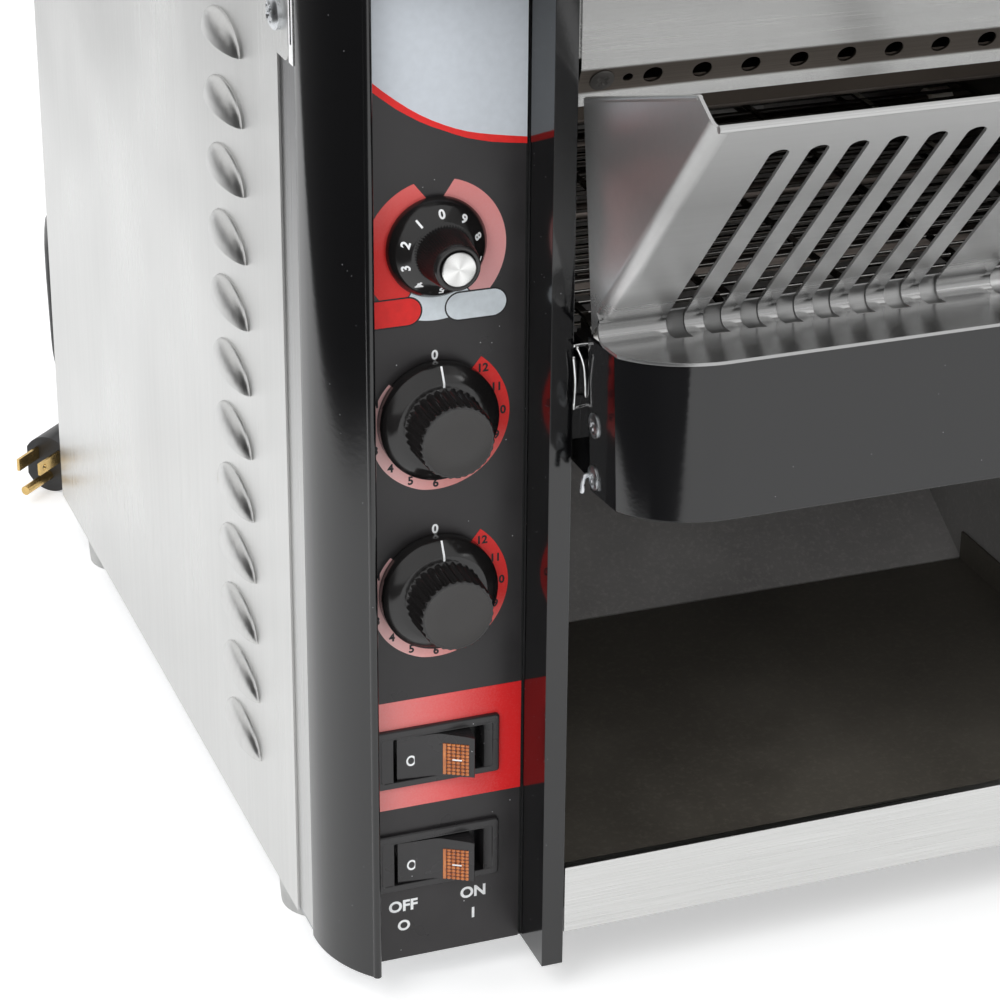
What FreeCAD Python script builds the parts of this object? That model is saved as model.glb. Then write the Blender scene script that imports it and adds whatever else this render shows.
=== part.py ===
import FreeCAD, Part
import math
import os
import re
import Sketcher

# Countertop conveyor toaster. All lengths are in millimetres and all angles in degrees.
# The pieces are laid out from the bottom front corner of the post beside the controls:
# x to the right, y to the rear, z up. Each piece is then placed in the frame of the whole
# toaster, whose origin is under the middle of its box, on the surface that it stands on.

SIZES = {
    # Cabinet outline, from the left face to the right face, front to rear, bottom to top.
    "control_width": "76.3",
    "post_width": "8.5",
    "opening_width": "287",
    "right_width": "25.7",
    "cabinet_depth": "482",
    "post_height": "395.7",
    "skirt_height": "20",
    "panel_gauge": "1",
    "frame_gauge": "1.2",
    "joint_gap": "0.3",
    "overrun": "3",
    # Feet.
    "foot_height": "14",
    "foot_radius": "18",
    "foot_taper": "1",
    "foot_side_inset": "18.6",
    "foot_front_inset": "98",
    "foot_rear_inset": "53",
    # Base pan and rear panel.
    "base_front": "45",
    "rear_inset": "3",
    # Rounded front corners and the frame strips behind them.
    "corner_radius": "49",
    "corner_centre": "48.3",
    "corner_sweep_angle": "44.4",
    "corner_bead": "1.6",
    "corner_tail": "2",
    "strip_width": "36",
    "strip_flange": "14",
    # Side panels with their front tab at the top.
    "side_front": "71",
    "side_drop": "1",
    "tab_bottom": "351",
    "tab_front": "57",
    "tab_radius": "5",
    # Louvres.
    "louvre_count": "12",
    "louvre_pitch": "26.7",
    "louvre_lowest": "40.9",
    "louvre_centre": "143",
    "louvre_half_length": "24",
    "louvre_height": "12",
    "louvre_bulge": "5",
    # Front posts, right front plate and hood.
    "post_wall_depth": "26",
    "post_return": "19.7",
    "plate_front": "24.3",
    "plate_reach": "68",
    "overlay_gauge": "0.5",
    "overlay_margin": "1",
    "hood_gap": "1",
    "hood_bottom": "356.6",
    "lip_depth": "5",
    "lip_drop": "9.6",
    "lip_flange": "4.7",
    "hood_ear_depth": "20",
    "hood_ear_rise": "4",
    "lip_hole_radius": "3.5",
    "lip_hole_first": "36.8",
    "lip_hole_pitch": "18.3",
    "lip_hole_count": "13",
    "lip_screw_inset": "9.5",
    "lip_pin_hole_first": "27.6",
    "lip_pin_hole_radius": "1.8",
    # Screws: pan heads and shanks.
    "screw_head_radius": "4.6",
    "screw_head_height": "2.4",
    "screw_shank_radius": "2",
    "screw_shank_length": "5",
    "screw_clearance": "0.1",
    "corner_screw_head_radius": "6.5",
    "corner_screw_head_height": "3.2",
    "corner_screw_back": "70",
    "corner_screw_height": "366",
    "rear_screw_inset": "9",
    "rear_screw_low": "20",
    # Bracket strip at the upper left corner.
    "bracket_front": "50.3",
    "bracket_width": "5",
    "bracket_bottom": "352",
    "bracket_height": "38",
    "bracket_gauge": "1.4",
    "bracket_slot_width": "1.6",
    "bracket_slot_height": "24",
    # Loading ramp: leaning slotted plate, shelf below it, side walls.
    "ramp_gap": "2.5",
    "ramp_foot_out": "10.5",
    "ramp_foot_height": "264",
    "ramp_length": "142",
    "ramp_angle": "42.6",
    "shelf_angle": "5",
    "shelf_depth": "44.5",
    "bend_radius": "4",
    "hem_radius": "1.3",
    "wall_top_out": "93.3",
    "wall_top_height": "376",
    "wall_root_in": "1.4",
    "wall_root_height": "346.5",
    "slot_first": "25.3",
    "slot_pitch": "14",
    "slot_width": "6.8",
    "slot_top": "125",
    "slot_bottom": "9",
    "slot_relief": "0.8",
    "slot_count": "8",
    # Bumper under the shelf.
    "bumper_height": "56.7",
    "bumper_overlap": "3.5",
    "bumper_gauge": "1.5",
    "bumper_side": "24",
    "bumper_kink_angle": "20",
    "bumper_radius": "35",
    # Brackets that carry ramp and bumper on the posts.
    "mount_gauge": "1.5",
    "mount_reach": "32",
    "mount_tail": "18",
    "mount_bottom": "208",
    "mount_height": "48",
    "mount_block_front": "2",
    "mount_block_bottom": "220",
    "mount_block_height": "30",
    "bumper_screw_out": "15",
    "bumper_screw_low": "212",
    "bumper_screw_high": "232",
    # Toast tray with its front lip, and the rails under it.
    "tray_gap": "0.5",
    "tray_lip_bottom": "13.7",
    "tray_lip_height": "28.6",
    "tray_hem": "4",
    "tray_floor": "23.8",
    "tray_depth": "219",
    "tray_side_height": "15",
    "rail_width": "11.5",
    "rail_front": "30",
    "rail_length": "200",
    "seat_gap": "0.3",
    # Return chute behind the tray.
    "chute_front": "221",
    "chute_foot": "24.2",
    "chute_angle": "30",
    "chute_bend": "455",
    "chute_back": "470",
    "chute_turn": "205",
    "chute_top": "330",
    # Conveyor.
    "shaft_height": "235",
    "idler_back": "28",
    "drive_back": "420",
    "shaft_radius": "6",
    "running_clearance": "0.06",
    "bush_radius": "7.4",
    "bush_flange_radius": "13",
    "bush_flange": "4",
    "shaft_end": "0.6",
    "belt_inset": "13.5",
    "belt_radius": "21.5",
    "rod_radius": "0.8",
    "strand_rods": "40",
    "bend_rods": "7",
    "link_count": "6",
    "link_width": "3",
    "link_gauge": "1.2",
    "wheel_clearance": "0.5",
    "wheel_width": "6",
    "wheel_count": "5",
    "wheel_inset": "20",
    "notch_radius": "2.4",
    "notch_count": "12",
    # Chain drive and motor.
    "chain_wheel_radius": "22",
    "chain_wheel_width": "4",
    "chain_wheel_left": "14",
    "chain_gap": "0.3",
    "chain_gauge": "4",
    "chain_width": "5",
    "motor_back": "340",
    "motor_height": "135",
    "motor_shaft_radius": "5",
    "motor_shaft_length": "22",
    "gearbox_width": "40",
    "gearbox_depth": "70",
    "gearbox_height": "70",
    "motor_can_radius": "25",
    "motor_can_length": "72",
    "motor_plate_gap": "6",
    "motor_plate_gauge": "2",
    "motor_plate_depth": "68",
    "motor_plate_height": "175",
    "motor_hole_radius": "9",
    # Heaters.
    "heater_count": "4",
    "heater_radius": "4",
    "heater_first": "105",
    "heater_pitch": "80",
    "top_heater_height": "305",
    "bottom_heater_height": "235",
    "insulator_radius": "7",
    "insulator_length": "12",
    "insulator_head": "4",
    "insulator_head_radius": "9",
    "heater_tail": "6",
    "reflector_front": "60",
    "reflector_depth": "370",
    "reflector_height": "330",
    "reflector_drop": "12",
    # Fan at the rear of the control space.
    "fan_size": "80",
    "fan_depth": "25",
    "fan_height": "250",
    "fan_bore_radius": "37",
    "fan_hub_radius": "14",
    "fan_hub_depth": "14",
    "fan_blade_radius": "35.5",
    "fan_blade_gauge": "1.4",
    "fan_blade_depth": "13",
    "fan_blade_count": "7",
    "fan_blade_angle": "35",
    "fan_pin_radius": "2",
    "fan_spider_width": "6",
    "fan_spider_depth": "3",
    "fan_slot_count": "6",
    "fan_slot_height": "5",
    "fan_slot_pitch": "10",
    "fan_slot_length": "56",
    # Knobs on the control panel.
    "knob_in": "34.5",
    "knob_gap": "0.3",
    "knob_shaft_radius": "3",
    "knob_shaft_length": "12",
    "knob_hole_radius": "4.6",
    "flute_count": "20",
    "flute_radius": "1",
    "speed_height": "291",
    "speed_skirt_radius": "19",
    "speed_skirt_top": "13.6",
    "speed_skirt_depth": "7.5",
    "speed_grip_radius": "10.2",
    "speed_grip_top": "8.8",
    "speed_grip_depth": "15",
    "speed_ring_radius": "8",
    "speed_ring_depth": "1.6",
    "speed_cap_radius": "6.65",
    "speed_cap_depth": "1",
    "top_heat_height": "226",
    "bottom_heat_height": "157.8",
    "heat_skirt_radius": "22.25",
    "heat_skirt_rim": "5.8",
    "heat_skirt_top": "16.5",
    "heat_skirt_bevel": "3",
    "heat_grip_radius": "14.6",
    "heat_grip_top": "13.8",
    "heat_grip_depth": "15.2",
    "heat_pointer_width": "2",
    "heat_pointer_depth": "0.5",
    "pot_radius": "12",
    "pot_depth": "14",
    "switch_size": "32",
    "switch_depth": "30",
    # Rocker switches.
    "rocker_centre": "34.7",
    "power_height": "87.75",
    "saver_height": "42.5",
    "bezel_width": "50.6",
    "bezel_height": "25.5",
    "bezel_depth": "2",
    "rocker_width": "35.6",
    "rocker_height": "17",
    "housing_gauge": "1.5",
    "housing_depth": "20",
    "housing_back": "1.5",
    "cutout_clearance": "0.2",
    "rocker_clearance": "0.5",
    "rocker_rise": "2.4",
    "rocker_body": "5",
    "rocker_taper": "1.6",
    "rocker_tilt_angle": "8",
    "rocker_pivot_in": "1.2",
    "rocker_pin_radius": "1.5",
    "rocker_pin_length": "1",
    "lens_start": "3.2",
    "lens_end": "15.2",
    "lens_depth": "1.4",
    "lens_stand": "0.5",
    "lens_side": "2.2",
    # Terminal block.
    "terminal_width": "40",
    "terminal_depth": "20",
    "terminal_height": "15",
    "terminal_left": "62",
    "terminal_back": "400",
    "terminal_bore": "2",
    "terminal_count": "3",
    # Cord, strain relief and plug.
    "cord_diameter": "9",
    "relief_left": "60",
    "relief_height": "128",
    "relief_length": "33",
    "relief_base_radius": "8.5",
    "relief_end_radius": "5.4",
    "relief_flange_radius": "12",
    "relief_flange": "3",
    "relief_nut": "6",
    "coil_across": "116",
    "coil_back": "562",
    "coil_radius": "60",
    "coil_pitch": "9.6",
    "coil_layer_pitch": "9.6",
    "plug_face_left": "75.5",
    "plug_face_back": "517",
    "plug_height": "1",
    "plug_angle": "46.2",
    "plug_radius": "15",
    "plug_half_width": "13",
    "plug_body_length": "24",
    "plug_tail_length": "15.8",
    "plug_tail_radius": "6",
    "blade_length": "18",
    "blade_width": "6.4",
    "blade_gauge": "1.5",
    "blade_spacing": "12.7",
    "blade_rise": "5.5",
    "blade_hole_radius": "1.6",
    "blade_hole_in": "4",
    "ground_radius": "2.4",
    "ground_length": "22",
    "ground_drop": "6",
}

# Places worked out from the sizes, in the frame of the post.
PLACES = {
    "left_face": "0 - control_width",
    "left_inside": "0 - control_width + panel_gauge",
    "opening_left": "post_width",
    "opening_right": "post_width + opening_width",
    "right_post_out": "2*post_width + opening_width",
    "right_face": "2*post_width + opening_width + right_width",
    "middle": "post_width + opening_width/2",
    "centre": "(2*post_width + opening_width + right_width - control_width)/2",
    "cover_bottom": "post_height + joint_gap",
    "cover_inside": "post_height + joint_gap + skirt_height - frame_gauge",
    "rear_outside": "cabinet_depth - rear_inset",
    "rear_inside": "cabinet_depth - rear_inset - frame_gauge",
    "wall_front": "post_return",
    "wall_length": "rear_inside - post_return",
    "plate_back": "plate_front + frame_gauge",
    "overlay_front": "plate_front - overlay_gauge",
    "ramp_left": "post_width + ramp_gap",
    "ramp_width": "opening_width - 2*ramp_gap",
    "ramp_reach": "ramp_foot_out + ramp_length*sin(ramp_angle)",
    "ramp_top": "ramp_foot_height + ramp_length*cos(ramp_angle)",
    "reach": "ramp_reach - frame_gauge/2*cos(ramp_angle) + hem_radius",
    "bend_half": "(90 - ramp_angle - shelf_angle)/2",
    "bend_start": "bend_radius/tan(bend_half)",
    "bend_out": "ramp_foot_out + bend_radius/sin(bend_half)*cos(bend_half + shelf_angle)",
    "bend_height": "ramp_foot_height + bend_radius/sin(bend_half)*sin(bend_half + shelf_angle)",
    "bumper_drop": "bumper_height + frame_gauge",
    "bumper_back": "0 - ramp_foot_out + bumper_overlap*cos(shelf_angle)"
                   " - bumper_drop*sin(shelf_angle)",
    "bumper_bottom": "ramp_foot_height - bumper_overlap*sin(shelf_angle)"
                     " - bumper_drop*cos(shelf_angle)",
    "bumper_arc_in": "bumper_radius*cos(bumper_kink_angle)",
    "bumper_arc_out": "bumper_side - bumper_radius*sin(bumper_kink_angle)",
    "bumper_reach": "bumper_arc_out + bumper_radius",
    "belt_left": "post_width + belt_inset",
    "belt_width": "opening_width - 2*belt_inset",
    "shaft_span": "drive_back - idler_back",
    "wheel_radius": "belt_radius - rod_radius - wheel_clearance",
    "chain_rise": "shaft_height - motor_height",
    "chain_run": "drive_back - motor_back",
    "chain_span": "sqrt((shaft_height - motor_height)^2 + (drive_back - motor_back)^2)",
    "motor_plate_left": "0 - chain_wheel_left - motor_plate_gap - motor_plate_gauge",
    "fan_left": "(post_width - frame_gauge + left_inside)/2 - fan_size/2",
    "fan_centre": "(post_width - frame_gauge + left_inside)/2",
}

FIRST_LEG = FreeCAD.Vector(1, 0, 0)
SECOND_LEG = FreeCAD.Vector(0, 1, 0)
UPRIGHT = FreeCAD.Vector(0, 0, 1)
NOWHERE = FreeCAD.Vector(0, 0, 0)

# Turns that lay the axis of a cylinder or cone along a direction.
TURNS = {
    "x": FreeCAD.Rotation(SECOND_LEG, 90),
    "-x": FreeCAD.Rotation(SECOND_LEG, -90),
    "y": FreeCAD.Rotation(FIRST_LEG, -90),
    "-y": FreeCAD.Rotation(FIRST_LEG, 90),
    "z": FreeCAD.Rotation(),
    "-z": FreeCAD.Rotation(FIRST_LEG, 180),
}
# The turn that takes x to y, y to z and z to x, for arcs about a crosswise axis.
CROSSWISE = FreeCAD.Rotation(FreeCAD.Vector(1, 1, 1), 120)

document = FreeCAD.newDocument("ConveyorToaster")
sheet = document.addObject("Spreadsheet::Sheet", "Sizes")
for row, (name, value) in enumerate(SIZES.items(), start=1):
    sheet.set("A%d" % row, name)
    sheet.set("B%d" % row, value)
    sheet.setAlias("B%d" % row, name)
document.recompute()

nodes = []


def size(name):
    return float(sheet.get(name))


def count(name):
    return int(round(float(sheet.get(name))))


def expand(text):
    """Write out the places in an expression and point its sizes at the sheet."""
    def reference(match):
        word = match.group(0)
        if word in PLACES:
            return "(" + expand(PLACES[word]) + ")"
        if word in SIZES:
            return "Sizes." + word
        return word
    return re.sub(r"[a-z][a-z_]*", reference, text)


def bind(item, links):
    for name, text in links.items():
        item.setExpression(name, expand(text))
    return item


def put(item, x, y, z):
    return bind(item, {"Placement.Base.x": x, "Placement.Base.y": y, "Placement.Base.z": z})


def box(x, y, z, length, width, height):
    item = document.addObject("Part::Box", "Block")
    bind(item, {"Length": length, "Width": width, "Height": height})
    return put(item, x, y, z)


def cylinder(direction, x, y, z, radius, height):
    item = document.addObject("Part::Cylinder", "Round")
    item.Placement = FreeCAD.Placement(NOWHERE, TURNS[direction])
    bind(item, {"Radius": radius, "Height": height})
    return put(item, x, y, z)


def cone(direction, x, y, z, first, second, height):
    item = document.addObject("Part::Cone", "Taper")
    item.Placement = FreeCAD.Placement(NOWHERE, TURNS[direction])
    bind(item, {"Radius1": first, "Radius2": second, "Height": height})
    return put(item, x, y, z)


def fuse(*pieces):
    item = document.addObject("Part::MultiFuse", "Joined")
    item.Shapes = list(pieces)
    return item


def group(*pieces):
    item = document.addObject("Part::Compound", "Group")
    item.Links = list(pieces)
    return item


def cut(base, *tools):
    item = document.addObject("Part::Cut", "Trimmed")
    item.Base = base
    item.Tool = tools[0] if len(tools) == 1 else group(*tools)
    return item


def common(base, tool):
    item = document.addObject("Part::Common", "Shared")
    item.Base = base
    item.Tool = tool
    return item


def mirror(piece, x):
    item = document.addObject("Part::Mirroring", "Mirrored")
    item.Source = piece
    item.Normal = FIRST_LEG
    item.setExpression("Base.x", expand(x))
    return item


def turn(piece, axis, angle, x="0", y="0", z="0"):
    """Turn a copy of a piece about an axis through the origin, then move it."""
    item = group(piece)
    item.Placement = FreeCAD.Placement(NOWHERE, FreeCAD.Rotation(axis, 1))
    item.setExpression("Placement.Rotation.Angle", expand(angle))
    return put(item, x, y, z)


def shift(piece, x="0", y="0", z="0"):
    return put(group(piece), x, y, z)


def upright_arc(x, y, z, radius, gauge, start, sweep, height):
    """Bent strip about a vertical axis, outside radius given."""
    rounds = []
    for reach, low, tall in ((radius, "0", height),
                             (radius + " - " + gauge, "0 - overrun", height + " + 2*overrun")):
        item = document.addObject("Part::Cylinder", "Round")
        bind(item, {"Radius": reach, "Height": tall, "Angle": sweep, "Placement.Base.z": low})
        rounds.append(item)
    return turn(cut(rounds[0], rounds[1]), UPRIGHT, start, x, y, z)


def crosswise_arc(x, y, z, radius, gauge, start, sweep, length):
    """Bent strip about a crosswise axis, inside radius given; angles run from rear to up."""
    rounds = []
    for reach, left, wide in ((radius + " + " + gauge, "0", length),
                              (radius, "0 - overrun", length + " + 2*overrun")):
        item = document.addObject("Part::Cylinder", "Round")
        item.Placement = FreeCAD.Placement(NOWHERE, CROSSWISE)
        bind(item, {"Radius": reach, "Height": wide, "Angle": sweep, "Placement.Base.x": left})
        rounds.append(item)
    return turn(cut(rounds[0], rounds[1]), FIRST_LEG, start, x, y, z)


def profile(role, points, start, depth):
    """Pad an outline, given as pairs of expressions, from a start plane along its normal."""
    body = document.addObject("PartDesign::Body", "Profile")
    sketch = body.newObject("Sketcher::SketchObject", "Outline")
    plane = [face for face in body.Origin.OriginFeatures if face.Role == role][0]
    sketch.AttachmentSupport = [(plane, "")]
    sketch.MapMode = "FlatFace"
    total = len(points)
    for index in range(total):
        sketch.addGeometry(Part.LineSegment(FreeCAD.Vector(index, index*index, 0),
                                            FreeCAD.Vector(index + 1, (index + 1)**2, 0)), False)
    for index in range(total):
        sketch.addConstraint(Sketcher.Constraint("Coincident", index, 2, (index + 1) % total, 1))
    for index, (across, along) in enumerate(points):
        for kind, text in (("DistanceX", across), ("DistanceY", along)):
            number = sketch.addConstraint(Sketcher.Constraint(kind, -1, 1, index, 1, 1.0))
            sketch.setExpression("Constraints[%d]" % number, expand(text))
    sketch.setExpression("AttachmentOffset.Base.z", expand(start))
    pad = body.newObject("PartDesign::Pad", "Pad")
    pad.Profile = sketch
    pad.setExpression("Length", expand(depth))
    return body


def screw(direction, x, y, z, head, rise):
    """Pan-head screw: head in the given direction, shank the other way."""
    opposite = direction[1:] if direction.startswith("-") else "-" + direction
    return fuse(cylinder(direction, x, y, z, head, rise),
                cylinder(opposite, x, y, z, "screw_shank_radius", "screw_shank_length"))


def screw_hole(direction, x, y, z):
    """Clearance hole for a shank that starts at a face."""
    opposite = direction[1:] if direction.startswith("-") else "-" + direction
    radius = "screw_shank_radius + screw_clearance"
    deep = "screw_shank_length + overrun"
    return group(cylinder(direction, x, y, z, radius, "overrun"),
                 cylinder(opposite, x, y, z, radius, deep))


def node(name, *pieces):
    """Name a sub-part and place it in the frame of the toaster."""
    item = group(*pieces)
    put(item, "0 - centre", "(reach - cabinet_depth)/2", "foot_height")
    item.Label = name
    nodes.append(item)
    return item


# Base pan: one floor behind the tray lip, with two ears that run forward to the posts.
inner_span = "right_face - left_face - 2*panel_gauge"
floor_pan = box("left_inside", "base_front", "0", inner_span, "rear_inside - base_front",
                "frame_gauge")
left_ear = box("0 - plate_reach", "post_wall_depth", "0", "plate_reach + post_width",
               "base_front - post_wall_depth", "frame_gauge")
right_ear = box("opening_right", "post_wall_depth", "0", "right_width + post_width - 2*foot_taper"
                " - right_width/3", "base_front - post_wall_depth", "frame_gauge")
node("base_pan", fuse(floor_pan, left_ear, right_ear))

# Feet, one under each corner.
foot_left = "left_face + foot_side_inset"
foot_right = "right_face - foot_side_inset"
feet = []
for across in (foot_left, foot_right):
    for along in ("foot_front_inset", "cabinet_depth - foot_rear_inset"):
        feet.append(cone("-z", across, along, "0", "foot_radius", "foot_radius - foot_taper",
                         "foot_height"))
node("feet", *feet)

# Side panels: a flat sheet with a forward tab at the top and a column of pressed louvres.
sheet_low = box("left_face", "side_front", "0 - side_drop", "panel_gauge",
                "cabinet_depth - side_front", "cover_bottom + side_drop")
tab_main = box("left_face", "tab_front + tab_radius", "tab_bottom", "panel_gauge",
               "side_front - tab_front", "cover_bottom - tab_bottom")
tab_edge = box("left_face", "tab_front", "tab_bottom + tab_radius", "panel_gauge",
               "side_front - tab_front", "cover_bottom - tab_bottom - tab_radius")
tab_round = cylinder("x", "left_face", "tab_front + tab_radius", "tab_bottom + tab_radius",
                     "tab_radius", "panel_gauge")
louvre_skins = []
louvre_hollows = []
for index in range(count("louvre_count")):
    level = "louvre_lowest + %d*louvre_pitch" % index
    for outer in (True, False):
        item = document.addObject("Part::Ellipsoid", "Louvre")
        item.Placement = FreeCAD.Placement(NOWHERE, FreeCAD.Rotation(UPRIGHT, 90))
        item.Angle1 = 0
        item.Angle2 = 90
        item.Angle3 = 180 if outer else 360
        less = "" if outer else " - panel_gauge"
        bind(item, {"Radius1": "louvre_height" + less, "Radius2": "louvre_half_length" + less,
                    "Radius3": "louvre_bulge" + less})
        put(item, "left_face", "louvre_centre", level)
        (louvre_skins if outer else louvre_hollows).append(item)
side_sheet = fuse(sheet_low, tab_main, tab_edge, tab_round, *louvre_skins)
side_panel = cut(side_sheet, *louvre_hollows,
                 screw_hole("-x", "left_face", "corner_screw_back", "corner_screw_height"))
node("side_panel_left", side_panel)
node("side_panel_right", mirror(side_panel, "centre"))

# Corner frame strips behind the front edge of the side panels.
strip = box("left_inside", "corner_centre", "frame_gauge", "frame_gauge", "strip_width",
            "cover_bottom - frame_gauge")
strip_flange = box("left_inside", "corner_centre + strip_width - frame_gauge", "frame_gauge",
                   "strip_flange", "frame_gauge", "cover_bottom - frame_gauge")
corner_strip = cut(fuse(strip, strip_flange),
                   screw_hole("-x", "left_face", "corner_screw_back", "corner_screw_height"))
node("corner_frame_left", corner_strip)
node("corner_frame_right", mirror(corner_strip, "centre"))

# Rounded front corners with a rolled bead at the tip and a return to the control plate.
tip_across = "left_face + corner_radius - corner_radius*cos(corner_sweep_angle)"
tip_back = "corner_centre - corner_radius*sin(corner_sweep_angle)"
corner_skin = upright_arc("left_face + corner_radius", "corner_centre", "0", "corner_radius",
                          "panel_gauge", "180", "corner_sweep_angle", "post_height")
corner_tail = box("left_face", "corner_centre", "0", "panel_gauge", "corner_tail", "post_height")
bead = cylinder("z", tip_across + " + corner_bead/2", tip_back + " + corner_bead/2", "0",
                "corner_bead", "post_height")
corner_return = box(tip_across, tip_back + " + corner_bead/2", "0", "panel_gauge",
                    "overlay_front - joint_gap - corner_bead/2 - (" + tip_back + ")",
                    "post_height")
bullnose = fuse(corner_skin, corner_tail, bead, corner_return)
node("bullnose_left", bullnose)
node("bullnose_right", mirror(bullnose, "centre"))

# Screws at the upper corners.
corner_screw = screw("-x", "left_face", "corner_screw_back", "corner_screw_height",
                     "corner_screw_head_radius", "corner_screw_head_height")
node("corner_screws", corner_screw, mirror(corner_screw, "centre"))

# Slotted bracket strip on the left corner frame.
bracket = box("left_inside - bracket_gauge", "bracket_front", "bracket_bottom", "bracket_gauge",
              "bracket_width", "bracket_height")
bracket_slot = box("left_inside - bracket_gauge - overrun",
                   "bracket_front + (bracket_width - bracket_slot_width)/2",
                   "bracket_bottom + (bracket_height - bracket_slot_height)/2",
                   "bracket_gauge + 2*overrun", "bracket_slot_width", "bracket_slot_height")
node("bracket_strip", cut(bracket, bracket_slot))

# Control plate and its overlay, with holes for three knob shafts and two rocker housings.
plate = box("0 - plate_reach", "plate_front", "0", "plate_reach", "frame_gauge", "post_height")
overlay = box("0 - plate_reach", "overlay_front", "0", "plate_reach - overlay_margin",
              "overlay_gauge", "post_height")
plate_tools = []
for level in ("speed_height", "top_heat_height", "bottom_heat_height"):
    plate_tools.append(cylinder("y", "0 - knob_in", "overlay_front - overrun", level,
                                "knob_hole_radius", "overlay_gauge + frame_gauge + 2*overrun"))
housing_width = "rocker_width + 2*housing_gauge"
housing_height = "rocker_height + 2*housing_gauge"
for level in ("power_height", "saver_height"):
    plate_tools.append(box("0 - rocker_centre - (" + housing_width + ")/2 - cutout_clearance",
                           "overlay_front - overrun",
                           level + " - (" + housing_height + ")/2 - cutout_clearance",
                           housing_width + " + 2*cutout_clearance",
                           "overlay_gauge + frame_gauge + 2*overrun",
                           housing_height + " + 2*cutout_clearance"))
panel_tools = group(*plate_tools)
node("control_plate", cut(plate, panel_tools))
node("control_overlay", cut(overlay, panel_tools))

# Front posts: a channel with a deep glossy outer wall and a short return into the opening.
post_face = box("0", "0", "0", "post_width", "frame_gauge", "post_height")
post_wall = box("0", "0", "0", "frame_gauge", "post_wall_depth", "post_height")
post_inner = box("post_width - frame_gauge", "0", "0", "frame_gauge", "post_return",
                 "post_height")
post = fuse(post_face, post_wall, post_inner)
node("post_left", post)
node("post_right", mirror(post, "middle"))

# Narrow front plate on the right, between the post and the rounded corner.
node("front_plate_right",
     box("right_post_out", "plate_front", "0", "right_width + plate_reach - control_width",
         "frame_gauge", "post_height"))

# Inner walls beside the opening, with holes for the bushings and the heater insulators.
inner_wall = box("post_width - frame_gauge", "wall_front", "frame_gauge", "frame_gauge",
                 "wall_length", "cover_inside - frame_gauge")
wall_tools = []
for along in ("idler_back", "drive_back"):
    wall_tools.append(cylinder("x", "post_width - frame_gauge - overrun", along, "shaft_height",
                               "bush_radius", "frame_gauge + 2*overrun"))
for level in ("top_heater_height", "bottom_heater_height"):
    for index in range(count("heater_count")):
        wall_tools.append(cylinder("x", "post_width - frame_gauge - overrun",
                                   "heater_first + %d*heater_pitch" % index, level,
                                   "insulator_radius", "frame_gauge + 2*overrun"))
inner_left = cut(inner_wall, *wall_tools)
node("inner_wall_left", inner_left)
node("inner_wall_right", mirror(inner_left, "middle"))

# Hood front with its turned-under lip; ears at both ends seat on the posts.
gauge = "panel_gauge"
hood_points = [
    ("0", "post_height"),
    ("0", "hood_bottom"),
    ("lip_depth", "hood_bottom - lip_drop"),
    ("lip_depth", "hood_bottom - lip_drop - lip_flange"),
    ("lip_depth + panel_gauge", "hood_bottom - lip_drop - lip_flange"),
    ("lip_depth + panel_gauge", "hood_bottom - lip_drop + panel_gauge/4"),
    ("panel_gauge", "hood_bottom + panel_gauge/4"),
    ("panel_gauge", "post_height"),
]
hood_skin = profile("YZ_Plane", hood_points, "opening_left + hood_gap",
                    "opening_width - 2*hood_gap")
ear_bottom = "hood_bottom + hood_ear_rise"
left_hood_ear = box("opening_left", "panel_gauge", ear_bottom, "2*hood_gap",
                    "hood_ear_depth - panel_gauge", "post_height - (" + ear_bottom + ")")
right_hood_ear = box("opening_right - 2*hood_gap", "panel_gauge", ear_bottom, "2*hood_gap",
                     "hood_ear_depth - panel_gauge", "post_height - (" + ear_bottom + ")")
lip_middle_back = "lip_depth/2"
lip_middle_height = "hood_bottom - lip_drop/2"
lip_lean = "90 deg + atan2(lip_depth; lip_drop)"


def lip_round(across, radius, low, tall):
    """Round standing square on the slanted lip, measured from its front face."""
    return turn(cylinder("z", "0", "0", low, radius, tall), FIRST_LEG, lip_lean,
                across, lip_middle_back, lip_middle_height)


lip_tools = []
for index in range(count("lip_hole_count")):
    lip_tools.append(lip_round("lip_hole_first + %d*lip_hole_pitch" % index, "lip_hole_radius",
                               "0 - overrun", "2*overrun"))
lip_tools.append(lip_round("lip_pin_hole_first", "lip_pin_hole_radius", "0 - overrun",
                           "2*overrun"))
lip_screw_places = ("opening_left + lip_screw_inset", "opening_right - lip_screw_inset")
lip_screws = []
for across in lip_screw_places:
    lip_tools.append(lip_round(across, "screw_shank_radius + screw_clearance", "0 - overrun",
                               "2*overrun"))
    lip_screws.append(fuse(lip_round(across, "screw_head_radius", "0", "screw_head_height"),
                           lip_round(across, "screw_shank_radius", "0 - screw_shank_length",
                                     "screw_shank_length + screw_head_height/2")))
node("hood_front", cut(fuse(hood_skin, left_hood_ear, right_hood_ear), *lip_tools))


def cover_block(inset, low, tall):
    """Plan of the cover: a rectangle whose two front corners are round."""
    edge = "left_face + " + inset
    across = "right_face - left_face - 2*(" + inset + ")"
    radius = "corner_radius - " + inset
    front = "corner_centre - corner_radius + " + inset
    return fuse(box(edge, "corner_centre", low, across,
                    "cabinet_depth - corner_centre - " + inset, tall),
                box("left_face + corner_radius", front, low,
                    "right_face - left_face - 2*corner_radius", radius, tall),
                cylinder("z", "left_face + corner_radius", "corner_centre", low, radius, tall),
                cylinder("z", "right_face - corner_radius", "corner_centre", low, radius, tall))


# Top cover: a shallow lid with a skirt all round.
cover_shell = cut(cover_block("0", "cover_bottom", "skirt_height"),
                  cover_block("frame_gauge", "cover_bottom - overrun",
                              "skirt_height - frame_gauge + overrun"))
node("top_cover", cover_shell)

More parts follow.
